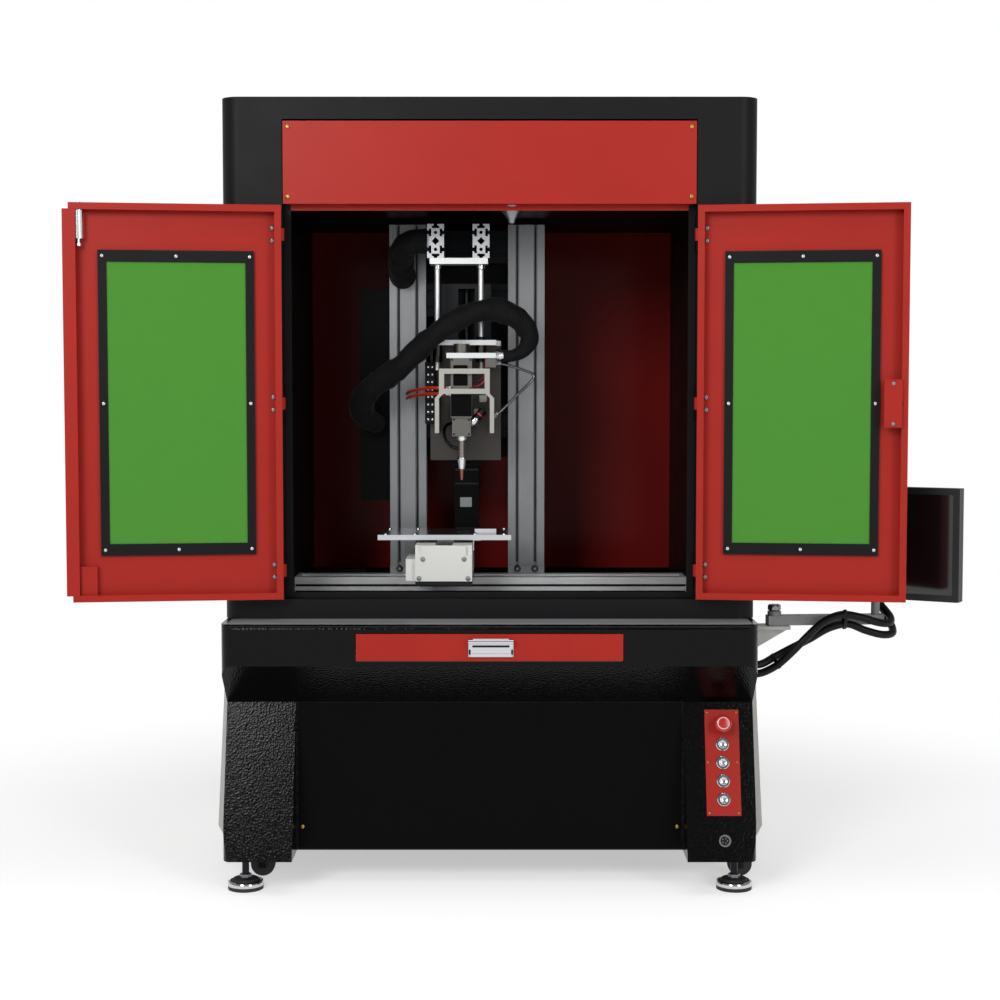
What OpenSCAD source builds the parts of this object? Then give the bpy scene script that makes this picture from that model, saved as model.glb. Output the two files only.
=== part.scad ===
// Fiber laser welding machine: a base with flared legs, a cabinet with two doors and a three-axis work cell.
// Millimetres, +Z up, the front towards -Y, the origin under the middle of the bounding box.

/* [Cabinet] */
// Width of the upper cabinet
cab_w = 1200; // [1180:2:1230]
// Depth of the upper cabinet
cab_d = 860; // [850:2:920]
// Height of the upper cabinet
cab_h = 1167; // [1156:1:1200]
// Radius of the upright corners of the cabinet
cab_r = 40; // [28:1:55]
// Thickness of the sheet steel
sheet = 3; // [2:0.25:3.5]

/* [Doors] */
// Width of the recess that both doors close into
recess_w = 926; // [916:1:940]
// Height of a door
door_h = 875; // [864:1:884]
// Depth of a door pan
door_t = 30; // [26:0.5:31]
// How far both doors stand open, in degrees
door_open = 172.5; // [168:0.5:175]
// Width of the opening of a door window
window_w = 302; // [280:1:312]
// Height of the opening of a door window
window_h = 622; // [590:1:640]

/* [Base] */
// Width of the base
base_w = 1190; // [1180:1:1198]
// Height of the top of the base above the floor
base_h = 610; // [604:1:620]
// How far the fascia stands out in front of the cabinet
ledge = 105; // [95:1:112]
// Height of the fascia
fascia_h = 92; // [86:1:94]
// Width of a leg
leg_w = 155; // [148:1:160]
// How far a leg flares out in front of the cabinet at its bottom
leg_flare = 100; // [94:1:106]
// Height of the underside of the base above the floor
under_h = 79; // [78:0.5:84]

/* [Drawer] */
// Width of the drawer front
drawer_w = 589; // [570:1:600]
// Height of the drawer front
drawer_h = 60; // [56:1:61]
// Length of the drawer tray
drawer_l = 440; // [420:1:460]

/* [Work cell] */
// Width of a square column profile
column_s = 90; // [84:1:92]
// Clear width between the two columns
column_gap = 203; // [200:1:210]
// Width of the work table
table_w = 310; // [290:1:316]
// Depth of the work table
table_d = 200; // [180:1:204]
// Diameter of a guide rod
rod_d = 12; // [11:0.25:13]

/* [Monitor] */
// Width of the monitor
monitor_w = 430; // [410:1:440]
// Height of the monitor
monitor_h = 258; // [246:1:268]
// Length of the monitor arm between its two pivots
arm_l = 242; // [236:1:250]

/* [Feet] */
// Diameter of a foot pad
pad_d = 80; // [72:1:82]
// Diameter of a caster wheel
wheel_d = 56; // [52:0.5:57]

/* [Hidden] */

// Smoothness of round shapes
$fn = 48;
// Overrun of cuts past the faces they open
over = 1;
// Clearance of a sliding fit
slide_c = 0.5;
// Radial clearance of a running fit
run_c = 0.06;
// Gap round panels and doors
gap = 2;

// Heights of the doorway
door_lift = 49;
door_z0 = base_h + door_lift;
door_z1 = door_z0 + door_h;
header_h = 183;
header_gap = 7;
header_z0 = door_z1 + header_gap;
header_z1 = header_z0 + header_h;
sill_h = 57;
sill_z = base_h + sill_h;
lip_drop = 5;
lip_z0 = door_z1 - lip_drop;
recess_d = 34;
jamb = 16;
open_w = recess_w - 2 * jamb;
open_z1 = door_z1 + header_gap;
ceiling_rise = 14;
ceiling_z = door_z1 + ceiling_rise;
liner_w = 960;
back_gap = 60;
liner_y1 = cab_d - back_gap;
back_rise = 39;

// Doors
door_w = recess_w / 2 - 1.5 * gap;
hinge_x = recess_w / 2;
hinge_y = -6;
knuckle_r = 5.5;
pin_r = 2.5;
leaf_t = 2;
leaf_w = 30;
leaf_h = 80;
leaf_off = 7;
knuckle_share = 0.34;
knuckle_c = 0.5;
hinge_inset = 62;
door_sheet = 2;
door_lip = 15;
strip_w = 13;
strip_t = 1.5;
strip_gap = 1;
strip_inset = 14;
frame_side = 19;
frame_top = 26;
frame_t = 3;
glass_t = 5;
glass_margin = 12;
screw_r = 4;
screw_h = 2;

// Latch on the left door, measured from the door's free edge and top
latch_r = 13;
latch_h = 62;
latch_inset = 20;
latch_drop = 16;
latch_y = 16;
bolt_r = 5;
bolt_rise = 2;
bolt_tail = 16;
bolt_knob_r = 8;
bolt_knob_h = 6;
bolt_hole_r = 7;
keeper_w = 37;
keeper_h = 64;
keeper_d = 18;

// Lock and handle on the right door
lock_w = 39;
lock_h = 105;
lock_z = (door_z0 + door_z1) / 2;
lock_inset = 14;
lock_rise = 10;
lever_w = 22;
lever_t = 10;
lever_l = 84;
lever_off = 12;
shaft_r = 6;
rosette_r = 14;
shaft_inset = 17;
collar_r = 9;
collar_t = 5;

// Base profile
waist_drop = 189;
waist_z = base_h - waist_drop;
fascia_z = base_h - fascia_h;
leg_tilt = atan(leg_flare / (waist_z - under_h));
leg_in = base_w / 2 - leg_w;
centre_y = 8;
base_r = 30;
nose_r = 12;
vent_w = 190;
vent_h = 6;
vent_pitch = 16;
vent_x = 240;
vent_drop = 200;
vents = 8;
service_w = 960;
service_low = 70;
service_high = 70;
service_gap = 2;
panel_t = 3;
hatch_inset = 30;
panel_rim = 4;
cover_y0 = 145;
cover_back = 80;
cover_y1 = cab_d - cover_back;
cover_drop = 110;
cover_top = base_h - cover_drop;
cover_out_top = 25;
cover_out_low = 46;
cover_foot = 34;
cover_skirt = 24;
cover_low_z = under_h + cover_skirt;
bed_t = 12;
x_end_gap = 5;
x_len = liner_w - 2 * x_end_gap;
bed_inset = 5;
bed_w = x_len - 2 * bed_inset;
bed_y0 = 60;
bed_back = 10;
bed_y1 = liner_y1 - bed_back;
bed_z = base_h + bed_t;
source_size = [440, 500, 190];
source_x = -400;
source_y = 150;
source_at = [source_x, source_y, under_h + sheet];
unit_drop = 138;
unit_size = [270, 450, base_h - unit_drop - under_h - sheet];
unit_x = 110;
unit_y = 180;
unit_at = [unit_x, unit_y, under_h + sheet];

// Drawer
drawer_drop = 80;
drawer_z0 = base_h - drawer_drop;
drawer_gap = 1.5;
drawer_face_t = 3;
tray_side = 20;
tray_w = drawer_w - 2 * tray_side;
tray_t = 2;
tray_h = 44;
tray_drop = 5;
runner_w = 7.7;
runner_h = 16;
runner_lift = 22;
runner_z = drawer_z0 + runner_lift;
rail_c = 0.3;
rail_t = 8;
rail_h = 24;
rail_y0 = -60;
rail_l = 400;
pull_w = 99;
pull_h = 40;
pull_t = 4;
pull_bar_r = 5;
pull_out = 16;
pull_x = 3;

// Control panel on the right leg, measured down the sloped face from the waist
face_shift = 6;
face_x = (base_w / 2 + leg_in) / 2 + face_shift;
face_w = 77;
face_t = 4;
leg_plan = 342;
leg_share = (waist_z - under_h) / leg_plan;
plan_top = 18;
plan_low = 255;
plan_stop = 52;
plan_button = 96;
plan_pitch = 41;
plan_socket = 310;
face_top = plan_top * leg_share;
face_low = plan_low * leg_share;
stop_s = plan_stop * leg_share;
button_s0 = plan_button * leg_share;
button_pitch = plan_pitch * leg_share;
socket_s = plan_socket * leg_share;
bezel_r = 14.5;
bezel_t = 3;
bezel_in = 11;
button_r = 10;
button_out = 3;
button_deep = 8;
stop_collar_r = 15;
stop_collar_t = 10;
stop_r = 19;
stop_cap_t = 12;
stop_stem_r = 9;
stop_lift = 8;
socket_r = 13.5;
socket_t = 8;
socket_in_r = 10;
socket_deep = 6;
socket_pin_r = 1.5;
socket_pin_ring = 5.5;
socket_pins = 5;

// Columns and beams
gantry_x = -58.5;
column_x = column_gap / 2 + column_s / 2;
column_y = 465;
slot_w = 9;
slot_lip = 4;
slot_in_w = 18;
slot_in_d = 6;
beam_w = 40;
beam_h = 80;
beam_bore_r = 4;
beam_hollow = 13;
beam_y0 = 250;
cross_y = 430;
top_beam_drop = 94;
top_beam_z = door_z1 - top_beam_drop;
z_lift = 335;
z_z0 = bed_z + z_lift;
cross_lift = 53;
cross_drop = 130;
cross_z = [z_z0 + cross_lift, top_beam_z - cross_drop];
beam_l_x = -130;
beam_r_x = -22;
bracket_t = 10;
bracket_h = 70;
bracket_bolt_r = 6;
bracket_bolt_h = 5;
bracket_bolt_share = 0.24;
bracket_bolt_z = 62;

// Linear modules
module_wall = 7;
module_end = 12;
module_slot = 40;
screw_rod_r = 8;
x_w = 108;
x_h = 52;
x_y0 = 298;
x_z1 = bed_z + x_h;
groove_h = 6;
groove_d = 5;
groove_shares = [0.32, 0.62];
slider_l = 120;
saddle_rise = 6;
saddle_t = 10;
cell_x = -106;
y_len = 346;
y_y0 = 50;
y_w = 130;
y_h = 82;
y_z0 = x_z1 + saddle_rise + saddle_t;
y_cap_w = 102;
y_cap_step = 22;
y_cap_t = 6;
y_side_w = 22;
y_side_h = 50;
y_slider_l = 90;
table_t = 12;
table_rise = 7;
table_z0 = y_z0 + y_h + table_rise;
table_y = 220;
fixture_size = [50, 50, 12];
fixture_at = [70, -70];
z_head_gap = 55;
z_len = top_beam_z - z_head_gap - z_z0;
z_w = 120;
z_depth = 80;
z_slider_lift = 130;
z_slider_z = z_z0 + z_slider_lift;
z_motor_s = 60;
z_motor_l = 160;
z_couple_l = 15;
z_couple_s = 80;
x_motor_l = 130;
x_motor_x = -440;
x_motor_gap = 6;
duct_w = 75;
duct_d = 60;
duct_lift = 231;
duct_h = 523;
duct_y = 440;

// Carriage, head and guide rods
plate_w = 171;
plate_t = 12;
plate_shift = 2;
plate_x = gantry_x - plate_shift;
plate_rise = 8;
plate_y1 = cross_y - z_depth - plate_rise;
plate_y0 = plate_y1 - plate_t;
plate_h = 289;
plate_z1 = z_z0 + plate_h;
arm_plate_t = 10;
arm_plate_w = 139;
arm_plate_y0 = 180;
arm_plate_lift = 69;
arm_plate_z0 = z_z0 + arm_plate_lift;
arm_plate_h = 82;
arm_plate_z1 = arm_plate_z0 + arm_plate_h;
frame_h = 69;
frame_z1 = arm_plate_z1 + frame_h;
frame_bar = 12;
head_x = -68;
head_y = 225;
head_w = 50;
head_d = 60;
head_lift = 105;
head_z0 = z_z0 + head_lift;
head_h = 140;
head_z1 = head_z0 + head_h;
head_block_w = 44;
head_block_h = 44;
head_mount_w = 30;
head_mount_lift = 20;
head_mount_z0 = head_z0 + head_mount_lift;
head_mount_h = 75;
head_mount_z1 = head_mount_z0 + head_mount_h;
collimator_r = 19;
collimator_h = 34;
shelf_t = 12;
shelf_w = 116;
shelf_d = 56;
bush_plate_w = 178;
bush_plate_d = 87;
bush_plate_t = 12;
bush_plate_z = plate_z1 - bush_plate_t;
bush_r = 12;
bush_h = 52;
rod_gap = 104;
rod_x = -75;
rod_y = 280;
rod_below = 71;
rod_z0 = plate_z1 - rod_below;
hanger_w = 138;
hanger_d = 60;
hanger_t = 14;
fitting_w = 24;
fitting_h = 22;
tube_r = 8;
tube_l = 52;
ring_r = 12;
ring_h = 8;
cone_l = 26;
cone_r1 = 10;
tip_l = 26;
tip_r0 = 6.5;
tip_r1 = 3.5;
lamp_r = 9;
lamp_l = 26;
lamp_tilt = 40;
lamp_at = [22, -6, 4];

// Monitor and its arm
bracket_x = 666;
bracket_y = 150;
bracket_w = 60;
bracket_plate = 8;
bracket_gusset = 70;
bracket_end = 34;
arm_drop = 33;
arm_z0 = base_h - arm_drop;
arm_h = 23;
arm_w = 34;
pivot_r = 12;
pivot_cap_r = 18;
pivot_cap_h = 10;
arm_turn = 5;
post_r = 10;
post_h = 230;
screen_turn = 30;
monitor_t = 34;
monitor_off = 34;
monitor_lift = 36;
monitor_z0 = base_h + monitor_lift;
monitor_bezel = 14;
screen_deep = 2;
hub_r = 22;
hub_h = 60;
hub_w = 40;

clip_w = 44;
clip_d = 48;
clip_t = 6;
clip_in = 19;
clip_out = 10;
clip_lift = 80;
clip_z = base_h + clip_lift;

// Routes of the cables, sleeves and hoses, as middle points from one end to the other
cable_r = 9;
cable_end = [bracket_x + arm_l * cos(arm_turn), bracket_y + arm_l * sin(arm_turn), clip_z];
cable_side = base_w / 2;
cable_foot = [0, 0, base_h];
cable_a = concat(from(cable_foot, [[cable_side, 118, -142], [630, 118, -142], [668, 112, -122],
                                   [702, 106, -90], [736, 104, -54], [774, 106, -20], [816, 110, -4],
                                   [860, 112, -10], [900, 114, -22], [930, 130, -26], [941, 160, -18],
                                   [932, 188, 0], [910, 193, 24]]),
                 [cable_end + [-clip_out, clip_in, -clip_in], cable_end + [-clip_out, clip_in, 0]]);
cable_b = concat(from(cable_foot, [[cable_side, 118, -121], [630, 118, -121], [664, 130, -106],
                                   [704, 136, -86], [746, 134, -64], [790, 130, -38], [834, 128, -28],
                                   [874, 124, -42], [912, 124, -52], [940, 142, -52], [948, 174, -42],
                                   [942, 204, -20], [928, 214, 12]]),
                 [cable_end + [clip_out, 2 * clip_in, -clip_in], cable_end + [clip_out, 2 * clip_in, 0]]);
sleeve_end = plate_x + plate_w / 2 - shelf_t;
column_left = gantry_x - column_x - column_s / 2;
column_front = column_y - column_s / 2;
head_foot = [0, 0, z_z0];
beam_foot = [0, 0, top_beam_z];
sleeve_main = concat(from(head_foot, [[-288, duct_y, 89], [-288, 408, 89], [-303, 374, 103], [-314, 338, 131],
                                      [-290, 296, 171], [-205, 240, 233], [-125, 205, 305], [-52, 195, 347],
                                      [15, 201, 357], [66, 213, 337], [92, 222, 299], [80, 226, 265],
                                      [48, 226, 251]]),
                     [[sleeve_end, 226, head_z1 + shelf_t / 2]]);
sleeve_main_r = [22, 25, 28, 29, 29, 27, 25, 25, 28, 27, 22, 18, 14, 12];
sleeve_top = from(beam_foot, [[beam_l_x - beam_w / 2, 262, 40], [-166, 262, 40], [-188, 266, 37],
                              [-205, 279, 28], [-214, 300, 15], [-217, 326, -1], [-217, 354, -17],
                              [-217, 382, -28], [-217, 402, -31], [-217, column_front, -31]]);
sleeve_top_r = 30;
hose_r = 4;
hose_in = head_x - head_w / 2;
hose_a = from(head_foot, [[-205, column_front, 161], [-205, 388, 161], [-203, 356, 163], [-197, 324, 166],
                          [-186, 294, 169], [-169, 267, 172], [-147, 244, 175], [-120, 230, 175],
                          [hose_in, 230, 175]]);
hose_b = from(head_foot, [[-205, column_front, 149], [-205, 388, 149], [-202, 356, 151], [-196, 323, 154],
                          [-184, 292, 156], [-167, 265, 159], [-146, 242, 161], [-120, 228, 161],
                          [hose_in, 228, 161]]);
tube_sides = 10;

// Feet and casters
foot_inset = 42;
foot_x = base_w / 2 - foot_inset;
foot_front = 25;
foot_back = 55;
foot_y = [-foot_front, cab_d - foot_back];
caster_front = 80;
caster_back = 160;
caster_y = [caster_front, cab_d - caster_back];
pad_h = 12;
pad_ring_h = 12;
pad_ring_in = 8;
stem_r = 8;
stem_plate = 60;
stem_plate_t = 5;
nut_r = 14;
nut_h = 12;
caster_plate = 74;
caster_plate_t = 4;
caster_boss_r = 18;
caster_boss_h = 8;
caster_pin_r = 6;
caster_pin_h = 8;
fork_top_t = 4;
fork_side_t = 4;
fork_w = 36;
fork_trail = 26;
wheel_w = 24;
wheel_lift = 2;
axle_r = 4;
fork_c = 0.5;
tread_in = 3;

// The box that the whole machine fills, and its middle
reach_left = hinge_x + (door_w + strip_w) * cos(180 - door_open);
arm_end = [bracket_x + arm_l * cos(arm_turn), bracket_y + arm_l * sin(arm_turn)];
reach_right = arm_end[0] - (monitor_off + monitor_t) * sin(screen_turn) + monitor_w / 2 * cos(screen_turn);
reach_front = ledge + drawer_face_t + pull_out + pull_t;
frame_x = (reach_right - reach_left) / 2;
frame_y = (cab_d - reach_front) / 2;

// Moves a shape from the cabinet's front middle to the middle of the whole machine
module in_frame() {
    translate([-frame_x, -frame_y, 0]) children();
}

// A box between two opposite corners
module box(a, b) {
    translate(a) cube(b - a);
}

// Copies a shape to both sides of the middle plane
module both_sides() {
    children();
    mirror([1, 0, 0]) children();
}

// A rectangle with four round corners, drawn from its middle
module round_plate(w, d, r) {
    square([w - 2 * r, d], center = true);
    square([w, d - 2 * r], center = true);
    for (sx = [-1, 1], sy = [-1, 1]) {
        translate([sx * (w / 2 - r), sy * (d / 2 - r)]) circle(r);
    }
}

// One slot of an aluminium profile, opening towards +Y at the origin
module t_slot() {
    translate([-slot_w / 2, -slot_lip - over]) square([slot_w, slot_lip + 2 * over]);
    translate([-slot_in_w / 2, -slot_lip - slot_in_d]) square([slot_in_w, slot_in_d]);
}

// An aluminium profile with slots at a quarter and three quarters of each side
module column_profile() {
    difference() {
        square(column_s, center = true);
        for (turn = [0 : 90 : 270], side = [-1, 1]) {
            rotate(turn) translate([side * column_s / 4, column_s / 2]) t_slot();
        }
        circle(column_s / 8);
    }
}

// A slotted aluminium beam profile, twice as tall as it is wide
module beam_profile() {
    difference() {
        square([beam_w, beam_h], center = true);
        for (side = [-1, 1]) {
            rotate(side * 90) translate([beam_h / 4, beam_w / 2]) t_slot();
            rotate(side * 90) translate([-beam_h / 4, beam_w / 2]) t_slot();
            translate([0, side * beam_h / 4]) circle(beam_bore_r);
        }
        rotate(45) square(beam_hollow, center = true);
        translate([0, beam_h / 2]) t_slot();
        rotate(180) translate([0, beam_h / 2]) t_slot();
    }
}

// A closed linear module along +X with a slot in its top and a drive screw inside
module axis_body(l, w, h) {
    difference() {
        cube([l, w, h]);
        box([module_end, module_wall, module_wall], [l - module_end, w - module_wall, h - module_wall]);
        box([module_end, (w - module_slot) / 2, h - module_wall - over],
            [l - module_end, (w + module_slot) / 2, h + over]);
    }
    translate([module_end - over, w / 2, h / 2]) rotate([0, 90, 0])
        cylinder(r = screw_rod_r, h = l - 2 * module_end + 2 * over);
}

// The slider of a linear module: a nut block round the screw and a neck that rises out of the slot
module axis_slider(l, w, h, rise) {
    low = module_wall + slide_c;
    difference() {
        box([0, low, low], [l, w - low, h - low]);
        translate([-over, w / 2, h / 2]) rotate([0, 90, 0])
            cylinder(r = screw_rod_r + run_c, h = l + 2 * over);
    }
    box([0, (w - module_slot) / 2 + slide_c, h - low - over],
        [l, (w + module_slot) / 2 - slide_c, h + rise]);
}

// The side outline of the base, inset by a sheet thickness
module base_outline(t) {
    polygon([[-ledge + nose_r, base_h - t], [-ledge + t, base_h - nose_r], [-ledge + t, fascia_z + t / 2],
             [t, waist_z], [-leg_flare + t, under_h + t], [cab_d - t, under_h + t],
             [cab_d - t, base_h - t]]);
    translate([-ledge + nose_r, base_h - nose_r]) circle(nose_r - t);
}

// The body of the base between its side walls, open in front between the legs
module base_block(t) {
    difference() {
        intersection() {
            translate([-base_w / 2 + t, 0, 0]) rotate([90, 0, 90])
                linear_extrude(base_w - 2 * t) base_outline(t);
            translate([0, (cab_d - ledge) / 2, 0]) linear_extrude(base_h)
                round_plate(base_w - 2 * t, cab_d + ledge - 2 * t, base_r - t);
        }
        box([-leg_in - t, -ledge - over, 0], [leg_in + t, centre_y + t, waist_z + t]);
    }
}

// Puts a shape on the sloped face of the right leg: +Z up the face, -Y out of it
module on_face(s) {
    translate([face_x, 0, waist_z]) rotate([-leg_tilt, 0, 0]) translate([0, 0, -s]) children();
}

// A round piece that stands out of the sloped face
module face_disc(r, from, to) {
    translate([0, -from, 0]) rotate([90, 0, 0]) cylinder(r = r, h = to - from);
}

module base_shell() {
    color("#1c1c1e") difference() {
        base_block(0);
        base_block(sheet);
        box([-drawer_w / 2 - drawer_gap, -ledge - over, drawer_z0 - drawer_gap],
            [drawer_w / 2 + drawer_gap, -ledge + sheet + over, drawer_z0 + drawer_h + drawer_gap]);
        box([-leg_in + 2 * hatch_inset, centre_y - over, under_h + hatch_inset],
            [leg_in - 2 * hatch_inset, centre_y + sheet + over, waist_z - hatch_inset]);
        on_face(stop_s) face_disc(stop_collar_r - gap, -2 * sheet, over);
        for (i = [0 : 3]) {
            on_face(button_s0 + i * button_pitch) face_disc(bezel_in, -2 * sheet, over);
        }
        on_face(socket_s) face_disc(socket_in_r, -2 * sheet, over);
        for (side = [-1, 1], i = [0 : vents - 1]) {
            z0 = base_h - vent_drop - i * vent_pitch;
            box([side * vent_x - vent_w / 2, cab_d - sheet - over, z0],
                [side * vent_x + vent_w / 2, cab_d + over, z0 + vent_h]);
        }
    }
}

module front_panel() {
    color("#161617") box([-leg_in + panel_rim, centre_y - panel_t, under_h + panel_rim],
                         [leg_in - panel_rim, centre_y, waist_z - panel_rim]);
}

module side_covers() {
    color("#e4e4e2") both_sides() translate([base_w / 2, cover_y1, 0]) rotate([90, 0, 0])
        linear_extrude(cover_y1 - cover_y0)
            polygon([[0, under_h], [cover_foot, under_h], [cover_out_low, cover_low_z],
                     [cover_out_top, cover_top], [0, cover_top]]);
}

module bed_plate() {
    color("#5a5c5e") box([-bed_w / 2, bed_y0, base_h], [bed_w / 2, bed_y1, bed_z]);
}

module laser_source() {
    color("#b9bcc0") translate(source_at) cube(source_size);
}

module control_unit() {
    color("#3a3d42") translate(unit_at) cube(unit_size);
}

module cabinet_shell() {
    color("#1c1c1e") {
        difference() {
            translate([0, cab_d / 2, base_h]) linear_extrude(cab_h) round_plate(cab_w, cab_d, cab_r);
            translate([0, cab_d / 2, base_h - over]) linear_extrude(cab_h - sheet + over)
                round_plate(cab_w - 2 * sheet, cab_d - 2 * sheet, cab_r - sheet);
            recess_space(over);
            service_line();
        }
        difference() {
            box([-recess_w / 2 - sheet, 0, base_h],
                [recess_w / 2 + sheet, recess_d + sheet, header_z1 + 2 * gap + sheet]);
            recess_space(over);
            box([-open_w / 2, 0, sill_z], [open_w / 2, recess_d + sheet + over, open_z1]);
            box([-recess_w / 2, sheet, base_h - over], [recess_w / 2, recess_d, door_z0 - 2 * gap - sheet]);
        }
        liner();
    }
}

// The space in the cabinet's front that the header and both doors fill
module recess_space(out) {
    box([-recess_w / 2, -out, door_z0 - 2 * gap], [recess_w / 2, recess_d, header_z1 + 2 * gap]);
}

// The gap line round the service hatch in the cabinet's back
module service_line() {
    z0 = base_h + service_low;
    z1 = base_h + cab_h - service_high;
    difference() {
        box([-service_w / 2, cab_d - sheet / 2, z0], [service_w / 2, cab_d + over, z1]);
        box([-service_w / 2 + service_gap, cab_d - sheet, z0 + service_gap],
            [service_w / 2 - service_gap, cab_d + 2 * over, z1 - service_gap]);
    }
}

// The inner walls and ceiling of the work cell, with the flange that joins them to the front
module liner() {
    difference() {
        box([-liner_w / 2 - sheet, recess_d, base_h], [liner_w / 2 + sheet, liner_y1, ceiling_z + sheet]);
        box([-liner_w / 2, recess_d + sheet, base_h - over], [liner_w / 2, liner_y1 + over, ceiling_z]);
        box([-open_w / 2, recess_d - over, sill_z], [open_w / 2, recess_d + sheet + over, open_z1]);
    }
}

module back_panel() {
    color("#7a1418") box([-liner_w / 2 - sheet, liner_y1, base_h + back_rise],
                         [liner_w / 2 + sheet, liner_y1 + sheet, ceiling_z + sheet]);
}

module header_panel() {
    half = recess_w / 2 - gap;
    color("#b01217") {
        box([-half, 0, header_z0], [half, sheet, header_z1]);
        difference() {
            box([-open_w / 2, 0, header_z0], [open_w / 2, recess_d, header_z0 + sheet]);
            translate([-gap / 2 - latch_inset, latch_y, header_z0 - over])
                cylinder(r = bolt_hole_r, h = sheet + 2 * over);
        }
        box([-open_w / 2, recess_d - sheet, lip_z0], [open_w / 2, recess_d, header_z0 + sheet]);
        both_sides() box([half - 4 * sheet, 0, header_z0], [half - 3 * sheet, recess_d, header_z1]);
    }
}

module columns() {
    color("#c9cbcd") for (side = [-1, 1]) {
        translate([gantry_x + side * column_x, column_y, bed_z])
            linear_extrude(door_z1 - bed_z) column_profile();
    }
}

// A beam along +Y that starts at the origin
module beam_along(l) {
    rotate([90, 0, 180]) linear_extrude(l) beam_profile();
}

module cross_beams() {
    color("#c9cbcd") {
        for (x = [beam_l_x, beam_r_x]) {
            translate([x, beam_y0, top_beam_z + beam_h / 2]) beam_along(cross_y - beam_y0);
        }
        for (z = concat([top_beam_z], cross_z)) {
            translate([gantry_x + column_gap / 2, cross_y + beam_w / 2, z + beam_h / 2])
                rotate([0, 0, 90]) beam_along(column_gap);
        }
    }
}

module column_brackets() {
    y1 = column_y - column_s / 2;
    color("#b4b7ba") for (side = [-1, 1]) {
        x = gantry_x + side * column_x;
        box([x - column_s / 2, y1 - bracket_t, bed_z], [x + column_s / 2, y1, bed_z + bracket_h]);
        for (k = [-1, 1]) {
            translate([x + k * column_s * bracket_bolt_share, y1 - bracket_t, bed_z + bracket_bolt_z])
                rotate([90, 0, 0]) cylinder(r = bracket_bolt_r, h = bracket_bolt_h);
        }
    }
}

module x_module() {
    color("#c4c7ca") difference() {
        translate([-x_len / 2, x_y0, bed_z]) axis_body(x_len, x_w, x_h);
        for (share = groove_shares) {
            box([-x_len / 2 - over, x_y0 - over, bed_z + x_h * share - groove_h / 2],
                [x_len / 2 + over, x_y0 + groove_d, bed_z + x_h * share + groove_h / 2]);
        }
    }
}

// Turns a module that lies along +X with its slot up into one that stands with its slot to the front
module upright() {
    rotate([0, -90, 90]) children();
}

module z_module() {
    color("#8d9094") translate([gantry_x - z_w / 2, cross_y, z_z0])
        upright() translate([0, -z_w, 0]) axis_body(z_len, z_w, z_depth);
}

module axis_motors() {
    y_mid = cross_y - z_depth / 2;
    color("#202226") {
        box([gantry_x - z_couple_s / 2, y_mid - z_couple_s / 2, z_z0 - z_couple_l],
            [gantry_x + z_couple_s / 2, y_mid + z_couple_s / 2, z_z0]);
        box([gantry_x - z_motor_s / 2, y_mid - z_motor_s / 2, z_z0 - z_couple_l - z_motor_l],
            [gantry_x + z_motor_s / 2, y_mid + z_motor_s / 2, z_z0 - z_couple_l]);
        box([x_motor_x, x_y0 + x_w + x_motor_gap, bed_z],
            [x_motor_x + x_motor_l, x_y0 + x_w + x_motor_gap + z_motor_s, bed_z + z_motor_s]);
        box([column_left - duct_w, duct_y, bed_z + duct_lift],
            [column_left, duct_y + duct_d, bed_z + duct_lift + duct_h]);
    }
}

module rod_hanger() {
    color("#d9dbdd") {
        box([rod_x - hanger_w / 2, beam_y0, top_beam_z - hanger_t],
            [rod_x + hanger_w / 2, beam_y0 + hanger_d, top_beam_z]);
        for (side = [-1, 1]) {
            translate([rod_x + side * rod_gap / 2, rod_y, rod_z0])
                cylinder(d = rod_d, h = top_beam_z - hanger_t - rod_z0 + over);
        }
    }
}

// Heights of the middles of the three hinges of a door
function hinge_zs() = [door_z0 + hinge_inset, (door_z0 + door_z1) / 2, door_z1 - hinge_inset];

// The fixed half of the hinges of the left door
module fixed_hinges() {
    mid = leaf_h * knuckle_share / 2 + knuckle_c;
    for (z = hinge_zs()) {
        box([-hinge_x - leaf_w, -leaf_t, z - leaf_h / 2], [-hinge_x - leaf_off, 0, z + leaf_h / 2]);
        translate([-hinge_x, hinge_y, z - leaf_h / 2]) cylinder(r = pin_r, h = leaf_h);
        for (a = [[z - leaf_h / 2, z - mid], [z + mid, z + leaf_h / 2]]) {
            translate([-hinge_x, hinge_y, a[0]]) cylinder(r = knuckle_r, h = a[1] - a[0]);
            box([-hinge_x - leaf_off - over, -leaf_t, a[0]], [-hinge_x, 0 - knuckle_c, a[1]]);
        }
    }
}

module frame_hinges() {
    color("#2a2b2d") both_sides() fixed_hinges();
}

// The moving half of the hinges of the left door, with the door closed
module moving_hinges() {
    mid = leaf_h * knuckle_share / 2;
    for (z = hinge_zs()) {
        box([-hinge_x + leaf_off, -leaf_t, z - leaf_h / 2], [-hinge_x + leaf_w, 0, z + leaf_h / 2]);
        difference() {
            union() {
                translate([-hinge_x, hinge_y, z - mid]) cylinder(r = knuckle_r, h = 2 * mid);
                box([-hinge_x, -leaf_t, z - mid], [-hinge_x + leaf_off + over, 0 - knuckle_c, z + mid]);
            }
            translate([-hinge_x, hinge_y, z - mid - over])
                cylinder(r = pin_r + run_c, h = 2 * mid + 2 * over);
        }
    }
}

module drawer_rails() {
    in = tray_w / 2 + runner_w + rail_c;
    color("#8a8d90") both_sides() {
        box([in, rail_y0, runner_z - rail_h / 2], [in + rail_t, rail_y0 + rail_l, base_h - sheet]);
    }
}

module control_panel() {
    color("#b01217") difference() {
        on_face(0) box([-face_w / 2, -face_t, -face_low], [face_w / 2, 0, -face_top]);
        on_face(stop_s) face_disc(stop_collar_r - gap, -over, face_t + over);
        for (i = [0 : 3]) {
            on_face(button_s0 + i * button_pitch) face_disc(bezel_in, -over, face_t + over);
        }
    }
}

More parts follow.
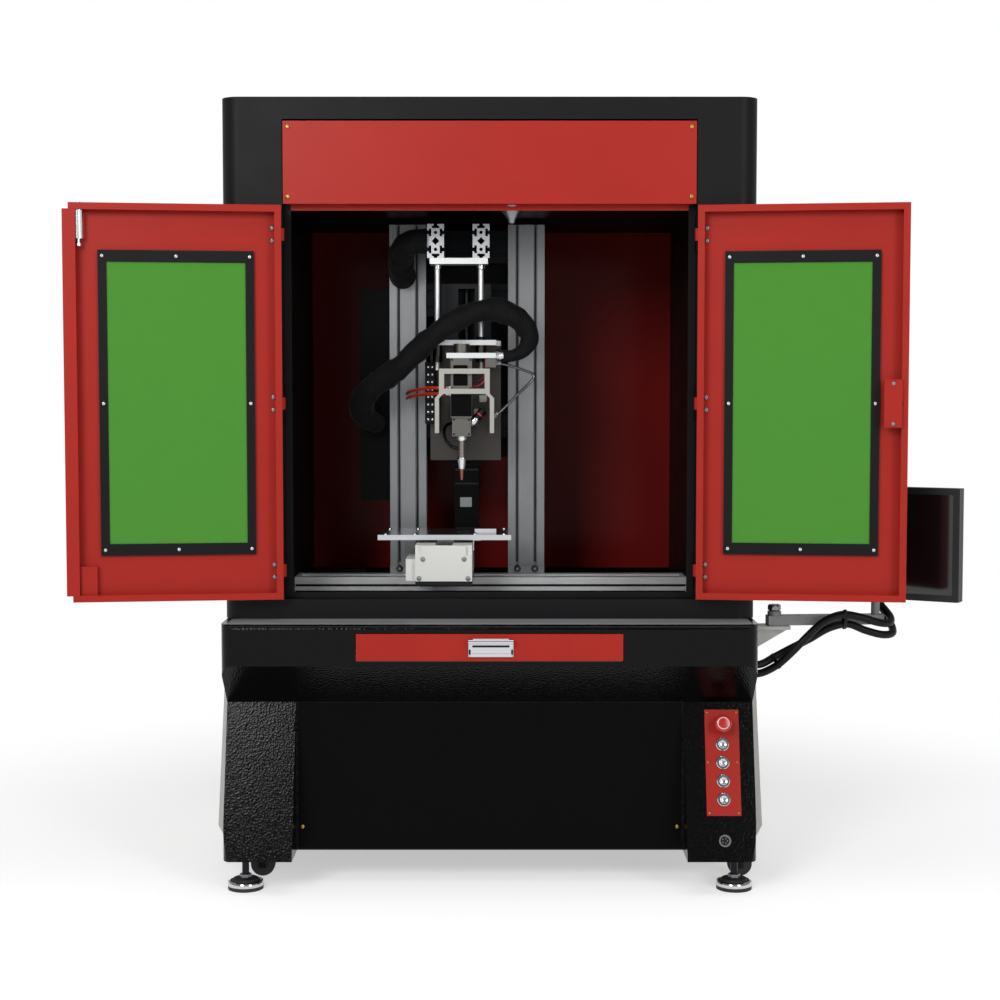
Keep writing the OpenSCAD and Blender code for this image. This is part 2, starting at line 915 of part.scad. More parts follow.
// A ring on the sloped face with a bore, from one height to another
module face_ring(r, bore, from, to) {
    difference() {
        face_disc(r, from, to);
        face_disc(bore, from - over, to + over);
    }
}

module button_bezels() {
    color("#c3c6c9") {
        for (i = [0 : 3]) {
            on_face(button_s0 + i * button_pitch) {
                face_ring(bezel_r, button_r + slide_c, face_t, face_t + bezel_t);
            }
        }
        on_face(stop_s) face_ring(stop_collar_r, stop_stem_r + slide_c, face_t, face_t + stop_collar_t);
        pedal_socket();
    }
}

// The round socket of the foot pedal, low on the right leg
module pedal_socket() {
    on_face(socket_s) {
        difference() {
            face_disc(socket_r, 0, socket_t);
            face_disc(socket_in_r, socket_t - socket_deep, socket_t + over);
        }
        for (i = [1 : socket_pins]) {
            rotate([0, i * 360 / socket_pins, 0]) translate([socket_pin_ring, 0, 0])
                face_disc(socket_pin_r, socket_t - socket_deep - over, socket_t - over);
        }
    }
}

// Places a shape at each of the four feet or casters
module at_corners(ys) {
    for (y = ys, side = [-1, 1]) {
        translate([side * foot_x, y, 0]) children();
    }
}

module caster_plates() {
    color("#26272a") {
        at_corners(caster_y) {
            box([-caster_plate / 2, -caster_plate / 2, under_h - caster_plate_t],
                [caster_plate / 2, caster_plate / 2, under_h]);
            translate([0, 0, under_h - caster_plate_t - caster_boss_h])
                cylinder(r = caster_boss_r, h = caster_boss_h);
            translate([0, 0, under_h - caster_plate_t - caster_boss_h - caster_pin_h])
                cylinder(r = caster_pin_r, h = caster_pin_h);
        }
        at_corners(foot_y) {
            box([-stem_plate / 2, -stem_plate / 2, under_h - stem_plate_t],
                [stem_plate / 2, stem_plate / 2, under_h]);
            translate([0, 0, under_h - stem_plate_t - nut_h]) cylinder(r = nut_r, h = nut_h, $fn = 6);
            translate([0, 0, pad_h + pad_ring_h])
                cylinder(r = stem_r, h = under_h - pad_h - pad_ring_h);
        }
    }
}

module foot_pads() {
    color("#2b2b2c") at_corners(foot_y) {
        cylinder(d = pad_d, h = pad_h);
        translate([0, 0, pad_h])
            cylinder(d1 = pad_d - pad_ring_in, d2 = pad_d - 3 * pad_ring_in, h = pad_ring_h);
    }
}

module arm_bracket() {
    z1 = arm_z0;
    color("#e4e4e2") {
        difference() {
            box([base_w / 2, bracket_y - bracket_w / 2, z1 - bracket_plate],
                [bracket_x + bracket_end, bracket_y + bracket_w / 2, z1]);
            translate([bracket_x, bracket_y, z1 - bracket_plate - over])
                cylinder(r = pivot_r / 2, h = bracket_plate + 2 * over);
        }
        translate([base_w / 2, bracket_y + bracket_plate / 2, z1 - bracket_plate]) rotate([90, 0, 0])
            linear_extrude(bracket_plate)
                polygon([[0, 0], [bracket_x + bracket_end - base_w / 2, 0],
                         [0, -bracket_gusset + bracket_plate]]);
    }
}

module x_saddle() {
    color("#4b4e52") {
        translate([cell_x - slider_l / 2, x_y0, bed_z])
            axis_slider(slider_l, x_w, x_h, saddle_rise + over);
        box([cell_x - y_w / 2, y_y0 + y_cap_t, x_z1 + saddle_rise],
            [cell_x + y_w / 2, y_y0 + y_len, y_z0]);
    }
}

module y_module() {
    color("#dcdcd8") {
        difference() {
            translate([cell_x + y_w / 2, y_y0, y_z0]) rotate([0, 0, 90]) axis_body(y_len, y_w, y_h);
            for (side = [-1, 1]) {
                x0 = cell_x + side * (y_w + y_cap_w) / 4;
                half = (y_w - y_cap_w) / 4;
                box([x0 - half - over * (1 - side) / 2, y_y0 - over, y_z0 + y_h - y_cap_step],
                    [x0 + half + over * (1 + side) / 2, y_y0 + module_end - gap, y_z0 + y_h + over]);
            }
        }
        box([cell_x - y_w / 2 - y_side_w, y_y0 + module_end, y_z0],
            [cell_x - y_w / 2, y_y0 + y_len, y_z0 + y_side_h]);
    }
}

module work_table() {
    color("#b9bcbf") {
        translate([cell_x + y_w / 2, table_y - y_slider_l / 2, y_z0]) rotate([0, 0, 90])
            axis_slider(y_slider_l, y_w, y_h, table_rise + over);
        box([cell_x - table_w / 2, table_y - table_d / 2, table_z0],
            [cell_x + table_w / 2, table_y + table_d / 2, table_z0 + table_t]);
        translate([cell_x + fixture_at[0], table_y + fixture_at[1], table_z0 + table_t]) cube(fixture_size);
    }
}

module z_carriage() {
    color("#9a9da1") {
        translate([gantry_x - z_w / 2, cross_y, z_slider_z]) upright() translate([0, -z_w, 0])
            axis_slider(slider_l, z_w, z_depth, plate_rise + over);
        box([plate_x - plate_w / 2, plate_y0, z_z0], [plate_x + plate_w / 2, plate_y1, plate_z1]);
        difference() {
            union() {
                box([rod_x - bush_plate_w / 2, plate_y1 - bush_plate_d, bush_plate_z],
                    [rod_x + bush_plate_w / 2, plate_y0, plate_z1]);
                for (side = [-1, 1]) {
                    translate([rod_x + side * rod_gap / 2, rod_y, plate_z1 - bush_h])
                        cylinder(r = bush_r, h = bush_h);
                }
            }
            for (side = [-1, 1]) {
                translate([rod_x + side * rod_gap / 2, rod_y, plate_z1 - bush_h - over])
                    cylinder(d = rod_d + 2 * run_c, h = bush_h + 2 * over);
            }
        }
    }
}

module head_bracket() {
    x0 = plate_x - arm_plate_w / 2;
    x1 = plate_x + arm_plate_w / 2;
    in0 = x0 + arm_plate_t;
    in1 = x1 - arm_plate_t;
    foot_z = arm_plate_z1 + arm_plate_t;
    color("#d2d4d6") {
        box([x0, arm_plate_y0, arm_plate_z0], [x0 + arm_plate_t, plate_y0, arm_plate_z1]);
        box([x1 - arm_plate_t, arm_plate_y0, arm_plate_z0], [x1, plate_y0, arm_plate_z1]);
        translate([0, arm_plate_y0 + arm_plate_t, 0]) rotate([90, 0, 0])
            linear_extrude(arm_plate_t) difference() {
                polygon([[x0, arm_plate_z1], [in0, arm_plate_z1], [in0 + arm_plate_t, foot_z],
                         [in1 - arm_plate_t, foot_z], [in1, arm_plate_z1], [x1, arm_plate_z1],
                         [in1, foot_z], [in1, frame_z1], [in0, frame_z1], [in0, foot_z]]);
                translate([in0 + frame_bar, foot_z + frame_bar])
                    square([in1 - in0 - 2 * frame_bar, frame_z1 - foot_z - 2 * frame_bar]);
            }
    }
}

module laser_head() {
    color("#6d7075") {
        box([head_x - head_w / 2, head_y - head_d / 2, head_z0],
            [head_x + head_w / 2, head_y + head_d / 2, head_z1]);
        box([head_x - head_block_w / 2, head_y - head_block_w / 2, head_z0 - head_block_h],
            [head_x + head_block_w / 2, head_y + head_block_w / 2, head_z0]);
        box([head_x - head_mount_w / 2, head_y + head_d / 2, head_mount_z0],
            [head_x + head_mount_w / 2, plate_y0, head_mount_z1]);
        box([plate_x + plate_w / 2 - shelf_w - shelf_t, head_y - head_d / 2, head_z1],
            [plate_x + plate_w / 2 - shelf_t, head_y - head_d / 2 + shelf_d, head_z1 + shelf_t]);
        box([sleeve_end - fitting_w, head_y - fitting_w, head_z1 - fitting_h],
            [sleeve_end, head_y, head_z1]);
        translate([head_x, head_y, head_z1]) cylinder(r = collimator_r, h = collimator_h);
        translate([head_x + lamp_at[0], head_y + lamp_at[1], head_z0 - head_block_h / 2 + lamp_at[2]])
            rotate([0, lamp_tilt, 0]) cylinder(r = lamp_r, h = lamp_l);
    }
}

module nozzle() {
    z1 = head_z0 - head_block_h;
    color("#d8dadc") translate([head_x, head_y, z1 - tube_l]) {
        cylinder(r = tube_r, h = tube_l);
        translate([0, 0, tube_l - ring_h]) cylinder(r = ring_r, h = ring_h);
        translate([0, 0, -cone_l]) cylinder(r1 = tip_r0, r2 = cone_r1, h = cone_l);
    }
}

module nozzle_tip() {
    z1 = head_z0 - head_block_h - tube_l - cone_l;
    color("#b87333") translate([head_x, head_y, z1 - tip_l]) cylinder(r1 = tip_r1, r2 = tip_r0, h = tip_l);
}

// Turns the left door from closed to its rest
module left_open() {
    translate([-hinge_x, hinge_y, 0]) rotate([0, 0, -door_open]) translate([hinge_x, -hinge_y, 0]) children();
}

// Turns the right door from closed to its rest
module right_open() {
    translate([hinge_x, hinge_y, 0]) rotate([0, 0, door_open]) translate([-hinge_x, -hinge_y, 0]) children();
}

// Left and right edges of the left door when it is closed
door_x0 = -hinge_x + gap;
door_x1 = door_x0 + door_w;
door_mid = [(door_x0 + door_x1) / 2, 0, (door_z0 + door_z1) / 2];

// A plate in the plane of the closed left door, centred on it
module door_plate(w, h, y0, y1) {
    box(door_mid + [-w / 2, y0, -h / 2], door_mid + [w / 2, y1, h / 2]);
}

// The folded pan of the left door, closed, with its window opening and hinge leaves
module door_pan() {
    difference() {
        door_plate(door_w, door_h, 0, door_t);
        door_plate(door_w - 2 * door_sheet, door_h - 2 * door_sheet, door_sheet, door_t - door_sheet);
        door_plate(door_w - 2 * door_lip, door_h - 2 * door_lip, door_sheet, door_t + over);
        door_plate(window_w, window_h, -over, door_t);
    }
    moving_hinges();
}

module left_door() {
    latch_x = door_x1 - latch_inset;
    color("#b01217") left_open() {
        difference() {
            union() {
                door_pan();
                box([door_x1 - door_lip, door_t, door_z0 + strip_inset],
                    [door_x1 - door_lip + strip_t, door_t + strip_gap + strip_t, door_z1 - strip_inset]);
                box([door_x1 - door_lip, door_t + strip_gap, door_z0 + strip_inset],
                    [door_x1 + strip_w, door_t + strip_gap + strip_t, door_z1 - strip_inset]);
                box([door_x1 - door_lip - keeper_w, door_sheet, door_z0 + strip_inset],
                    [door_x1 - door_lip, door_sheet + keeper_d, door_z0 + strip_inset + keeper_h]);
            }
            translate([latch_x, latch_y, door_z1 - door_sheet - over])
                cylinder(r = bolt_r + slide_c, h = door_sheet + 2 * over);
        }
    }
}

// The green pane of a door, closed, held between the pan and its frame
module pane() {
    door_plate(window_w + 2 * glass_margin, window_h + 2 * glass_margin, door_sheet, door_sheet + glass_t);
}

// The black frame of a door window, closed, with its screws
module pane_frame() {
    y0 = door_sheet + glass_t;
    w = window_w + 2 * frame_side;
    h = window_h + 2 * frame_top;
    difference() {
        door_plate(w, h, y0, y0 + frame_t);
        door_plate(window_w, window_h, y0 - over, y0 + frame_t + over);
    }
    for (i = [-1 : 1], k = [-1 : 1]) {
        if (abs(i) + abs(k) > 0) {
            translate(door_mid + [i * (w - frame_side) / 2, y0 + frame_t + screw_h, k * (h - frame_top) / 2])
                rotate([90, 0, 0]) cylinder(r = screw_r, h = screw_h);
        }
    }
}

module left_window() {
    color("#3f8f4a") left_open() pane();
}

module left_window_frame() {
    color("#17181a") left_open() pane_frame();
}

module left_latch() {
    x = door_x1 - latch_inset;
    z1 = door_z1 - latch_drop;
    color("#cfd2d5") left_open() difference() {
        union() {
            translate([x, latch_y, z1 - latch_h]) cylinder(r = latch_r, h = latch_h);
            box([x - latch_r, door_sheet, z1 - latch_h], [x + latch_r, latch_y, z1]);
        }
        translate([x, latch_y, z1 - latch_h - over]) cylinder(r = bolt_r + run_c, h = latch_h + 2 * over);
    }
}

module latch_bolt() {
    x = door_x1 - latch_inset;
    z0 = door_z1 - latch_drop - latch_h - bolt_tail;
    color("#b9bcbf") left_open() translate([x, latch_y, z0]) {
        cylinder(r = bolt_r, h = door_z1 + bolt_rise - z0);
        cylinder(r = bolt_knob_r, h = bolt_knob_h);
    }
}

// Mirrors a shape of the left door to the right door and opens it
module on_right() {
    right_open() mirror([1, 0, 0]) children();
}

// Where the handle's shaft goes through the right door, in the left door's mirror image
shaft_x = door_x1 - shaft_inset;

// A round piece along +Y through the door at the handle
module shaft_disc(r, y0, y1) {
    translate([shaft_x, y1, lock_z]) rotate([90, 0, 0]) cylinder(r = r, h = y1 - y0);
}

// The box that covers the lock on the inner side of the door
module lock_cover() {
    x1 = door_x1 - lock_inset;
    difference() {
        box([x1 - lock_w, door_t, lock_z - lock_h / 2], [x1, door_t + lock_rise, lock_z + lock_h / 2]);
        box([x1 - lock_w + door_sheet, door_t - over, lock_z - lock_h / 2 + door_sheet],
            [x1 - door_sheet, door_t + lock_rise - door_sheet, lock_z + lock_h / 2 - door_sheet]);
    }
}

module right_door() {
    color("#b01217") on_right() {
        difference() {
            door_pan();
            shaft_disc(shaft_r + run_c, -over, door_t + over);
        }
        lock_cover();
    }
}

module right_window() {
    color("#3f8f4a") on_right() pane();
}

module right_window_frame() {
    color("#17181a") on_right() pane_frame();
}

module door_handle() {
    color("#161617") on_right() {
        shaft_disc(shaft_r, -lever_off - over, door_sheet + 2 * collar_t);
        shaft_disc(rosette_r, -lever_off, -slide_c);
        shaft_disc(collar_r, door_sheet + slide_c, door_sheet + slide_c + collar_t);
        box([shaft_x - lever_w / 2, -lever_off - lever_t, lock_z - lever_l],
            [shaft_x + lever_w / 2, -lever_off, lock_z + lever_w / 2]);
    }
}

module drawer() {
    y0 = -ledge + sheet - drawer_face_t / 2;
    z0 = drawer_z0 + tray_drop;
    color("#b01217") {
        box([-drawer_w / 2, -ledge - drawer_face_t / 2, drawer_z0], [drawer_w / 2, y0, drawer_z0 + drawer_h]);
        difference() {
            box([-tray_w / 2, y0, z0], [tray_w / 2, y0 + drawer_l, z0 + tray_h]);
            box([-tray_w / 2 + tray_t, y0 + tray_t, z0 + tray_t],
                [tray_w / 2 - tray_t, y0 + drawer_l - tray_t, z0 + tray_h + over]);
        }
        both_sides() box([tray_w / 2, rail_y0, runner_z - runner_h / 2],
                         [tray_w / 2 + runner_w, y0 + drawer_l, runner_z + runner_h / 2]);
    }
}

module drawer_handle() {
    y1 = -ledge - drawer_face_t / 2;
    z = drawer_z0 + drawer_h / 2;
    color("#cfd2d5") translate([pull_x, 0, z]) {
        box([-pull_w / 2, y1 - pull_t, -pull_h / 2], [pull_w / 2, y1, pull_h / 2]);
        translate([-pull_w / 2, y1 - pull_out, pull_h / 2 - pull_bar_r]) rotate([0, 90, 0])
            cylinder(r = pull_bar_r, h = pull_w);
        both_sides() box([pull_w / 2 - 2 * pull_bar_r, y1 - pull_out, pull_h / 2 - 2 * pull_bar_r],
                         [pull_w / 2, y1 - pull_t, pull_h / 2]);
    }
}

module estop_head() {
    top = face_t + stop_collar_t + stop_lift;
    color("#c01418") on_face(stop_s) {
        face_disc(stop_stem_r, 0, top);
        face_disc(stop_r, top, top + stop_cap_t);
    }
}

// The cap of one push button
module button(i) {
    color("#d5d8da") on_face(button_s0 + i * button_pitch)
        face_disc(button_r, face_t + bezel_t - button_deep, face_t + bezel_t + button_out);
}

module button_1() {
    button(0);
}

module button_2() {
    button(1);
}

module button_3() {
    button(2);
}

module button_4() {
    button(3);
}

fork_z1 = under_h - caster_plate_t - caster_boss_h - fork_c;
wheel_z = wheel_lift + wheel_d / 2;

// The swivelling fork of a caster at the origin, trailing towards +X
module fork_shape() {
    difference() {
        box([-caster_boss_r, -fork_w / 2, fork_z1 - fork_top_t], [fork_trail, fork_w / 2, fork_z1]);
        translate([0, 0, fork_z1 - fork_top_t - over])
            cylinder(r = caster_pin_r + run_c, h = fork_top_t + 2 * over);
    }
    for (side = [-1, 1]) {
        y0 = side * fork_w / 2 - (side + 1) / 2 * fork_side_t;
        box([fork_trail - 2 * axle_r, y0, wheel_z - 2 * axle_r],
            [fork_trail + 2 * axle_r, y0 + fork_side_t, fork_z1]);
    }
    translate([fork_trail, fork_w / 2, wheel_z]) rotate([90, 0, 0]) cylinder(r = axle_r, h = fork_w);
}

// The wheel of a caster at the origin
module wheel_shape() {
    translate([fork_trail, wheel_w / 2, wheel_z]) rotate([90, 0, 0]) difference() {
        union() {
            cylinder(d = wheel_d - tread_in, h = wheel_w);
            translate([0, 0, tread_in]) cylinder(d = wheel_d, h = wheel_w - 2 * tread_in);
        }
        translate([0, 0, -over]) cylinder(r = axle_r + run_c, h = wheel_w + 2 * over);
    }
}

// Moves a caster to one of the four corners
module caster_at(side, k) {
    translate([side * foot_x, caster_y[k], 0]) children();
}

module caster_fork_1() {
    color("#26272a") caster_at(-1, 0) fork_shape();
}

module caster_fork_2() {
    color("#26272a") caster_at(1, 0) fork_shape();
}

module caster_fork_3() {
    color("#26272a") caster_at(-1, 1) fork_shape();
}

module caster_fork_4() {
    color("#26272a") caster_at(1, 1) fork_shape();
}

module caster_wheel_1() {
    color("#1a1a1b") caster_at(-1, 0) wheel_shape();
}

module caster_wheel_2() {
    color("#1a1a1b") caster_at(1, 0) wheel_shape();
}

module caster_wheel_3() {
    color("#1a1a1b") caster_at(-1, 1) wheel_shape();
}

module caster_wheel_4() {
    color("#1a1a1b") caster_at(1, 1) wheel_shape();
}

module monitor_arm() {
    color("#9ea1a4") {
        translate([bracket_x, bracket_y, 0]) rotate([0, 0, arm_turn]) {
            box([-arm_w / 2, -arm_w / 2, arm_z0 + slide_c], [arm_l + arm_w / 2, arm_w / 2, arm_z0 + arm_h]);
            translate([0, 0, arm_z0 + arm_h]) cylinder(r = pivot_cap_r - gap, h = pivot_cap_h);
            translate([0, 0, arm_z0 - bracket_plate + slide_c])
                cylinder(r = pivot_r / 2 - run_c, h = bracket_plate + gap);
            translate([arm_l, 0, arm_z0 + arm_h]) cylinder(r = post_r, h = post_h);
            box([arm_l - clip_w / 2, 0, clip_z], [arm_l + clip_w / 2, clip_d, clip_z + clip_t]);
        }
    }
}

module monitor() {
    z_mid = monitor_z0 + monitor_h / 2;
    color("#1b1c1e") translate([arm_end[0], arm_end[1], 0]) rotate([0, 0, -screen_turn]) {
        difference() {
            box([-monitor_w / 2, -monitor_off - monitor_t, monitor_z0],
                [monitor_w / 2, -monitor_off, monitor_z0 + monitor_h]);
            box([-monitor_w / 2 + monitor_bezel, -monitor_off - monitor_t - over, monitor_z0 + monitor_bezel],
                [monitor_w / 2 - monitor_bezel, -monitor_off - monitor_t + screen_deep,
                 monitor_z0 + monitor_h - monitor_bezel]);
        }
        difference() {
            union() {
                translate([0, 0, z_mid - hub_h / 2]) cylinder(r = hub_r, h = hub_h);
                box([-hub_w / 2, -monitor_off, z_mid - hub_h / 2], [hub_w / 2, 0, z_mid + hub_h / 2]);
            }
            translate([0, 0, z_mid - hub_h / 2 - over]) cylinder(r = post_r + run_c, h = hub_h + 2 * over);
        }
    }
}

// Points measured from a foot
function from(foot, points) = [for (q = points) foot + q];

// A vector of length one
function unit(v) = v / norm(v);

// The direction of a route at one of its inner points
function heading(p, i) =
    unit(unit(p[i + 1] - p[i]) + unit(p[i] - p[i - 1]));

// A direction square to each heading of a route, carried along without twist
function carried(ahead, start) = [for (i = 0, u = square_to(start, ahead[0]); i < len(ahead);
    i = i + 1, u = i < len(ahead) ? square_to(u, ahead[i]) : u) u];

// The part of a direction that is square to a heading
function square_to(v, h) = unit(v - (v * h) * h);

// The points of a route and one more between each two, on a smooth curve
function smooth(p) = [for (i = [0 : len(p) - 2]) let (
    a = p[max(i - 1, 0)], b = p[i], c = p[i + 1], d = p[min(i + 2, len(p) - 1)])
    for (t = [0, 1 / 2]) (2 * b + (c - a) * t + (2 * a - 5 * b + 4 * c - d) * t * t
        + (3 * b - a - 3 * c + d) * t * t * t) / 2, p[len(p) - 1]];

// The same for radii, straight from one to the next
function spread(r) = [for (i = [0 : len(r) - 2]) for (t = [0, 1 / 2]) r[i] * (1 - t) + r[i + 1] * t,
    r[len(r) - 1]];

// A tube along a route with a radius at each point and flat ends
module tube(route, radii) {
    p = smooth(route);
    r = spread(radii);
    n = len(p);
    last = len(route) - 1;
    ahead = [for (i = [0 : n - 1]) i == 0 ? unit(route[1] - route[0]) :
        i == n - 1 ? unit(route[last] - route[last - 1]) : heading(p, i)];
    side = carried(ahead, [0.3, 0.2, 1]);
    turns = [for (k = [0 : tube_sides - 1]) k * 360 / tube_sides];
    rings = [for (i = [0 : n - 1], a = turns)
        p[i] + r[i] * (cos(a) * side[i] + sin(a) * cross(ahead[i], side[i]))];
    walls = [for (i = [0 : n - 2], k = [0 : tube_sides - 1])
        let (j = (k + 1) % tube_sides, a = i * tube_sides)
        each [[a + k, a + tube_sides + j, a + j], [a + k, a + tube_sides + k, a + tube_sides + j]]];
    caps = [[for (k = [0 : tube_sides - 1]) k],
            [for (k = [tube_sides - 1 : -1 : 0]) (n - 1) * tube_sides + k]];
    polyhedron(rings, concat(walls, caps));
}

// One radius for every point of a route
function even(route, r) = [for (q = route) r];

module fibre_sleeve() {
    color("#141416") {
        tube(sleeve_main, sleeve_main_r);
        tube(sleeve_top, even(sleeve_top, sleeve_top_r));
    }
}

module air_hoses() {
    color("#b01217") {
        tube(hose_a, even(hose_a, hose_r));
        tube(hose_b, even(hose_b, hose_r));
    }
}

module monitor_cables() {
    color("#141416") {
        tube(cable_a, even(cable_a, cable_r));
        tube(cable_b, even(cable_b, cable_r));
    }
}

in_frame() {
    base_shell();
    front_panel();
    side_covers();
    bed_plate();
    laser_source();
    control_unit();
    cabinet_shell();
    back_panel();
    header_panel();
    columns();
    cross_beams();
    column_brackets();
    x_module();
    z_module();
    axis_motors();
    rod_hanger();
    frame_hinges();
    drawer_rails();
    control_panel();
    button_bezels();
    caster_plates();
    foot_pads();
    arm_bracket();
    x_saddle();
    y_module();
    work_table();
    z_carriage();
    head_bracket();
    laser_head();
    nozzle();
    nozzle_tip();
    left_door();
    left_window();
    left_window_frame();
    left_latch();
    latch_bolt();
    right_door();
    right_window();
    right_window_frame();
    door_handle();
    drawer();
    drawer_handle();
    estop_head();
    button_1();
    button_2();
    button_3();
    button_4();
    caster_fork_1();
    caster_fork_2();
    caster_fork_3();
    caster_fork_4();
    caster_wheel_1();
    caster_wheel_2();
    caster_wheel_3();
    caster_wheel_4();
    monitor_arm();
    monitor();
    fibre_sleeve();
    air_hoses();
    monitor_cables();
}
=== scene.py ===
import math

import bpy
import numpy as np
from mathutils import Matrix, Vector


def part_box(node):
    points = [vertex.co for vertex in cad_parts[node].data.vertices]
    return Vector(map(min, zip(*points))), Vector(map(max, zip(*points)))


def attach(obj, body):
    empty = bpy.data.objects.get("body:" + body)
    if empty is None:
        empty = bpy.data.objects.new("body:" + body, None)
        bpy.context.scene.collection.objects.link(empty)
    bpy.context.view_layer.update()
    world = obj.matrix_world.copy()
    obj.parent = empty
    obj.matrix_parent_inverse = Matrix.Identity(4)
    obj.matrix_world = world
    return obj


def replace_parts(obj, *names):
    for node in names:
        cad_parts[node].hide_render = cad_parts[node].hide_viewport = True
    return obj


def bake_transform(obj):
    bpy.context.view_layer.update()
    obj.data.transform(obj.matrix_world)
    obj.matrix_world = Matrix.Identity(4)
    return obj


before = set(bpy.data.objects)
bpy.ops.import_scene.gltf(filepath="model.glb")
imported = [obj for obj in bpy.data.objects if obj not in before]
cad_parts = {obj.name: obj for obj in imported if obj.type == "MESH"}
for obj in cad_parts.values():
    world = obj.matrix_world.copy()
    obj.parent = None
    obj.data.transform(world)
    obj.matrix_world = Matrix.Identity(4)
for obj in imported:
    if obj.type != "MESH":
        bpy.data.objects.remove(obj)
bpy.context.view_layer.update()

# The machine's own millimetres: x from the cabinet's middle, y back from its front face, z up from the floor.
PER_M = 1000.0
MIDDLE = np.array([63.66058, 366.0, 0.0])
UP, DOWN, FRONT, BACK = (0, 0, 1), (0, 0, -1), (0, -1, 0), (0, 1, 0)
LEFT, RIGHT = (-1, 0, 0), (1, 0, 0)
# The right door's hinge axis, and the angle by which both doors stand open.
HINGE_X, HINGE_Y, DOOR_OPEN = 463.0, -6.0, 172.5
# The right leg's sloped face: its middle, its top and foot, and how far it leans out between them.
FACE_X, FACE_TOP, FACE_FOOT, FACE_LEAN = 523.5, 421.0, 79.0, 100.0
FACE_TILT = math.atan(FACE_LEAN / (FACE_TOP - FACE_FOOT))


def at(points):
    """Machine millimetres to the frame's metres: subtract the machine's middle and divide by a thousand."""
    return (np.asarray(points, float) - MIDDLE) / PER_M


def unit(v):
    """A direction of length one."""
    v = np.asarray(v, float)
    return v / np.linalg.norm(v)


def turn_z(points, degrees, about):
    """Points turned about an upright axis: x' = c x - s y and y' = s x + c y round the axis."""
    a = math.radians(degrees)
    c, s = math.cos(a), math.sin(a)
    axis = [about[0], about[1], 0.0]
    spin = np.array([[c, s, 0.0], [-s, c, 0.0], [0.0, 0.0, 1.0]])
    return (np.asarray(points, float) - axis) @ spin + axis


def left_door(points):
    """From the closed left door to its open rest, a turn about its hinge."""
    return turn_z(points, -DOOR_OPEN, (-HINGE_X, HINGE_Y))


def right_door(points):
    """From the closed left door to the open right door: mirrored in x, then a turn about the right hinge."""
    return turn_z(np.asarray(points, float) * [-1.0, 1.0, 1.0], DOOR_OPEN, (HINGE_X, HINGE_Y))


def on_leg(points):
    """From the right leg's sloped face, with x across it, y out of it and z down it, to the machine."""
    p = np.asarray(points, float)
    c, s = math.cos(FACE_TILT), math.sin(FACE_TILT)
    y = -p[..., 2] * s - p[..., 1] * c
    z = FACE_TOP - p[..., 2] * c + p[..., 1] * s
    return np.stack([FACE_X + p[..., 0], y, z], -1)


def facing(turn):
    """The way that +y looks after a turn: its image less the image of the origin."""
    ends = turn(np.array([[0.0, 0.0, 0.0], [0.0, 1.0, 0.0]]))
    return ends[1] - ends[0]


# Surfaces: each gives (points, faces) in machine millimetres.


def shell(rings, closed=False):
    """A stack of rings of equal count joined by quads, with a flat face on the first and last ring,
    or closed on itself."""
    n, m = rings.shape[:2]
    i, k = np.meshgrid(np.arange(n if closed else n - 1), np.arange(m), indexing="ij")
    j, i1 = (k + 1) % m, (i + 1) % n
    quads = np.stack([i * m + k, i * m + j, i1 * m + j, i1 * m + k], -1).reshape(-1, 4)
    faces = [list(q) for q in quads.tolist()]
    if not closed:
        faces += [list(range(m))[::-1], [(n - 1) * m + q for q in range(m)]]
    return rings.reshape(-1, 3), faces


def across(axis):
    """Two directions square to an axis and to each other, right-handed with it."""
    axis = unit(axis)
    u = unit(np.cross(np.eye(3)[np.argmin(np.abs(axis))], axis))
    return u, np.cross(axis, u)


def turned(foot, axis, profile, sides=28, hexes=(), hollow=False):
    """A profile of (radius, height) turned about an axis: foot + h axis + r (cos t u + sin t v).
    A hollow one joins its last ring to its first, as a collar; any other has flat ends.
    A ring named in hexes has r cos 30 / cos(t folded into a sixth of a turn), which makes it a hexagon."""
    axis = unit(axis)
    u, v = across(axis)
    t = np.arange(sides) * 2 * np.pi / sides
    p = np.asarray(profile, float)
    r = np.repeat(p[:, :1], sides, 1)
    fold = np.cos(np.pi / 6) / np.cos((t + np.pi / 6) % (np.pi / 3) - np.pi / 6)
    for h in hexes:
        r[h] = r[h] * fold
    ring = np.cos(t)[:, None] * u + np.sin(t)[:, None] * v
    return shell(np.asarray(foot, float) + p[:, 1][:, None, None] * axis + r[..., None] * ring, hollow)


def screw(foot, axis, r):
    """A button-head screw: a low dome of radius r with a hexagon socket sunk into its top."""
    profile = [(r, -0.2 * r), (r, 0.22 * r), (0.93 * r, 0.4 * r), (0.74 * r, 0.56 * r), (0.52 * r, 0.63 * r),
               (0.44 * r, 0.63 * r), (0.44 * r, 0.2 * r)]
    return turned(foot, axis, profile, 24, hexes=(5, 6))


def slab(size, r, bevel, corners=6, bar=0.0):
    """A plate about the origin: a rounded rectangle of corner radius r, stacked at four heights,
    the outer two inset by the bevel.
    With a bar it is a frame of that width: the rings come back on a smaller rectangle and close on the first."""
    w, d, h = (np.asarray(size, float) / 2).tolist()
    r = min(r, w, d)
    t = np.linspace(0, np.pi / 2, corners)
    turns = np.concatenate([t + q * np.pi / 2 for q in range(4)])
    sx = np.repeat([1, -1, -1, 1], corners)
    sy = np.repeat([1, 1, -1, -1], corners)

    def ring(inset, z):
        e = max(r - inset, 0.01)
        x = sx * (w - r) + e * np.cos(turns)
        y = sy * (d - r) + e * np.sin(turns)
        return np.stack([x, y, np.full_like(x, z)], -1)

    rings = [ring(bevel, -h), ring(0, -h + bevel), ring(0, h - bevel), ring(bevel, h)]
    if bar:
        shrink = np.array([(w - bar) / w, (d - bar) / d, 1.0])
        rings += [rings[3] * shrink, rings[0] * shrink]
    return shell(np.stack(rings), bool(bar))


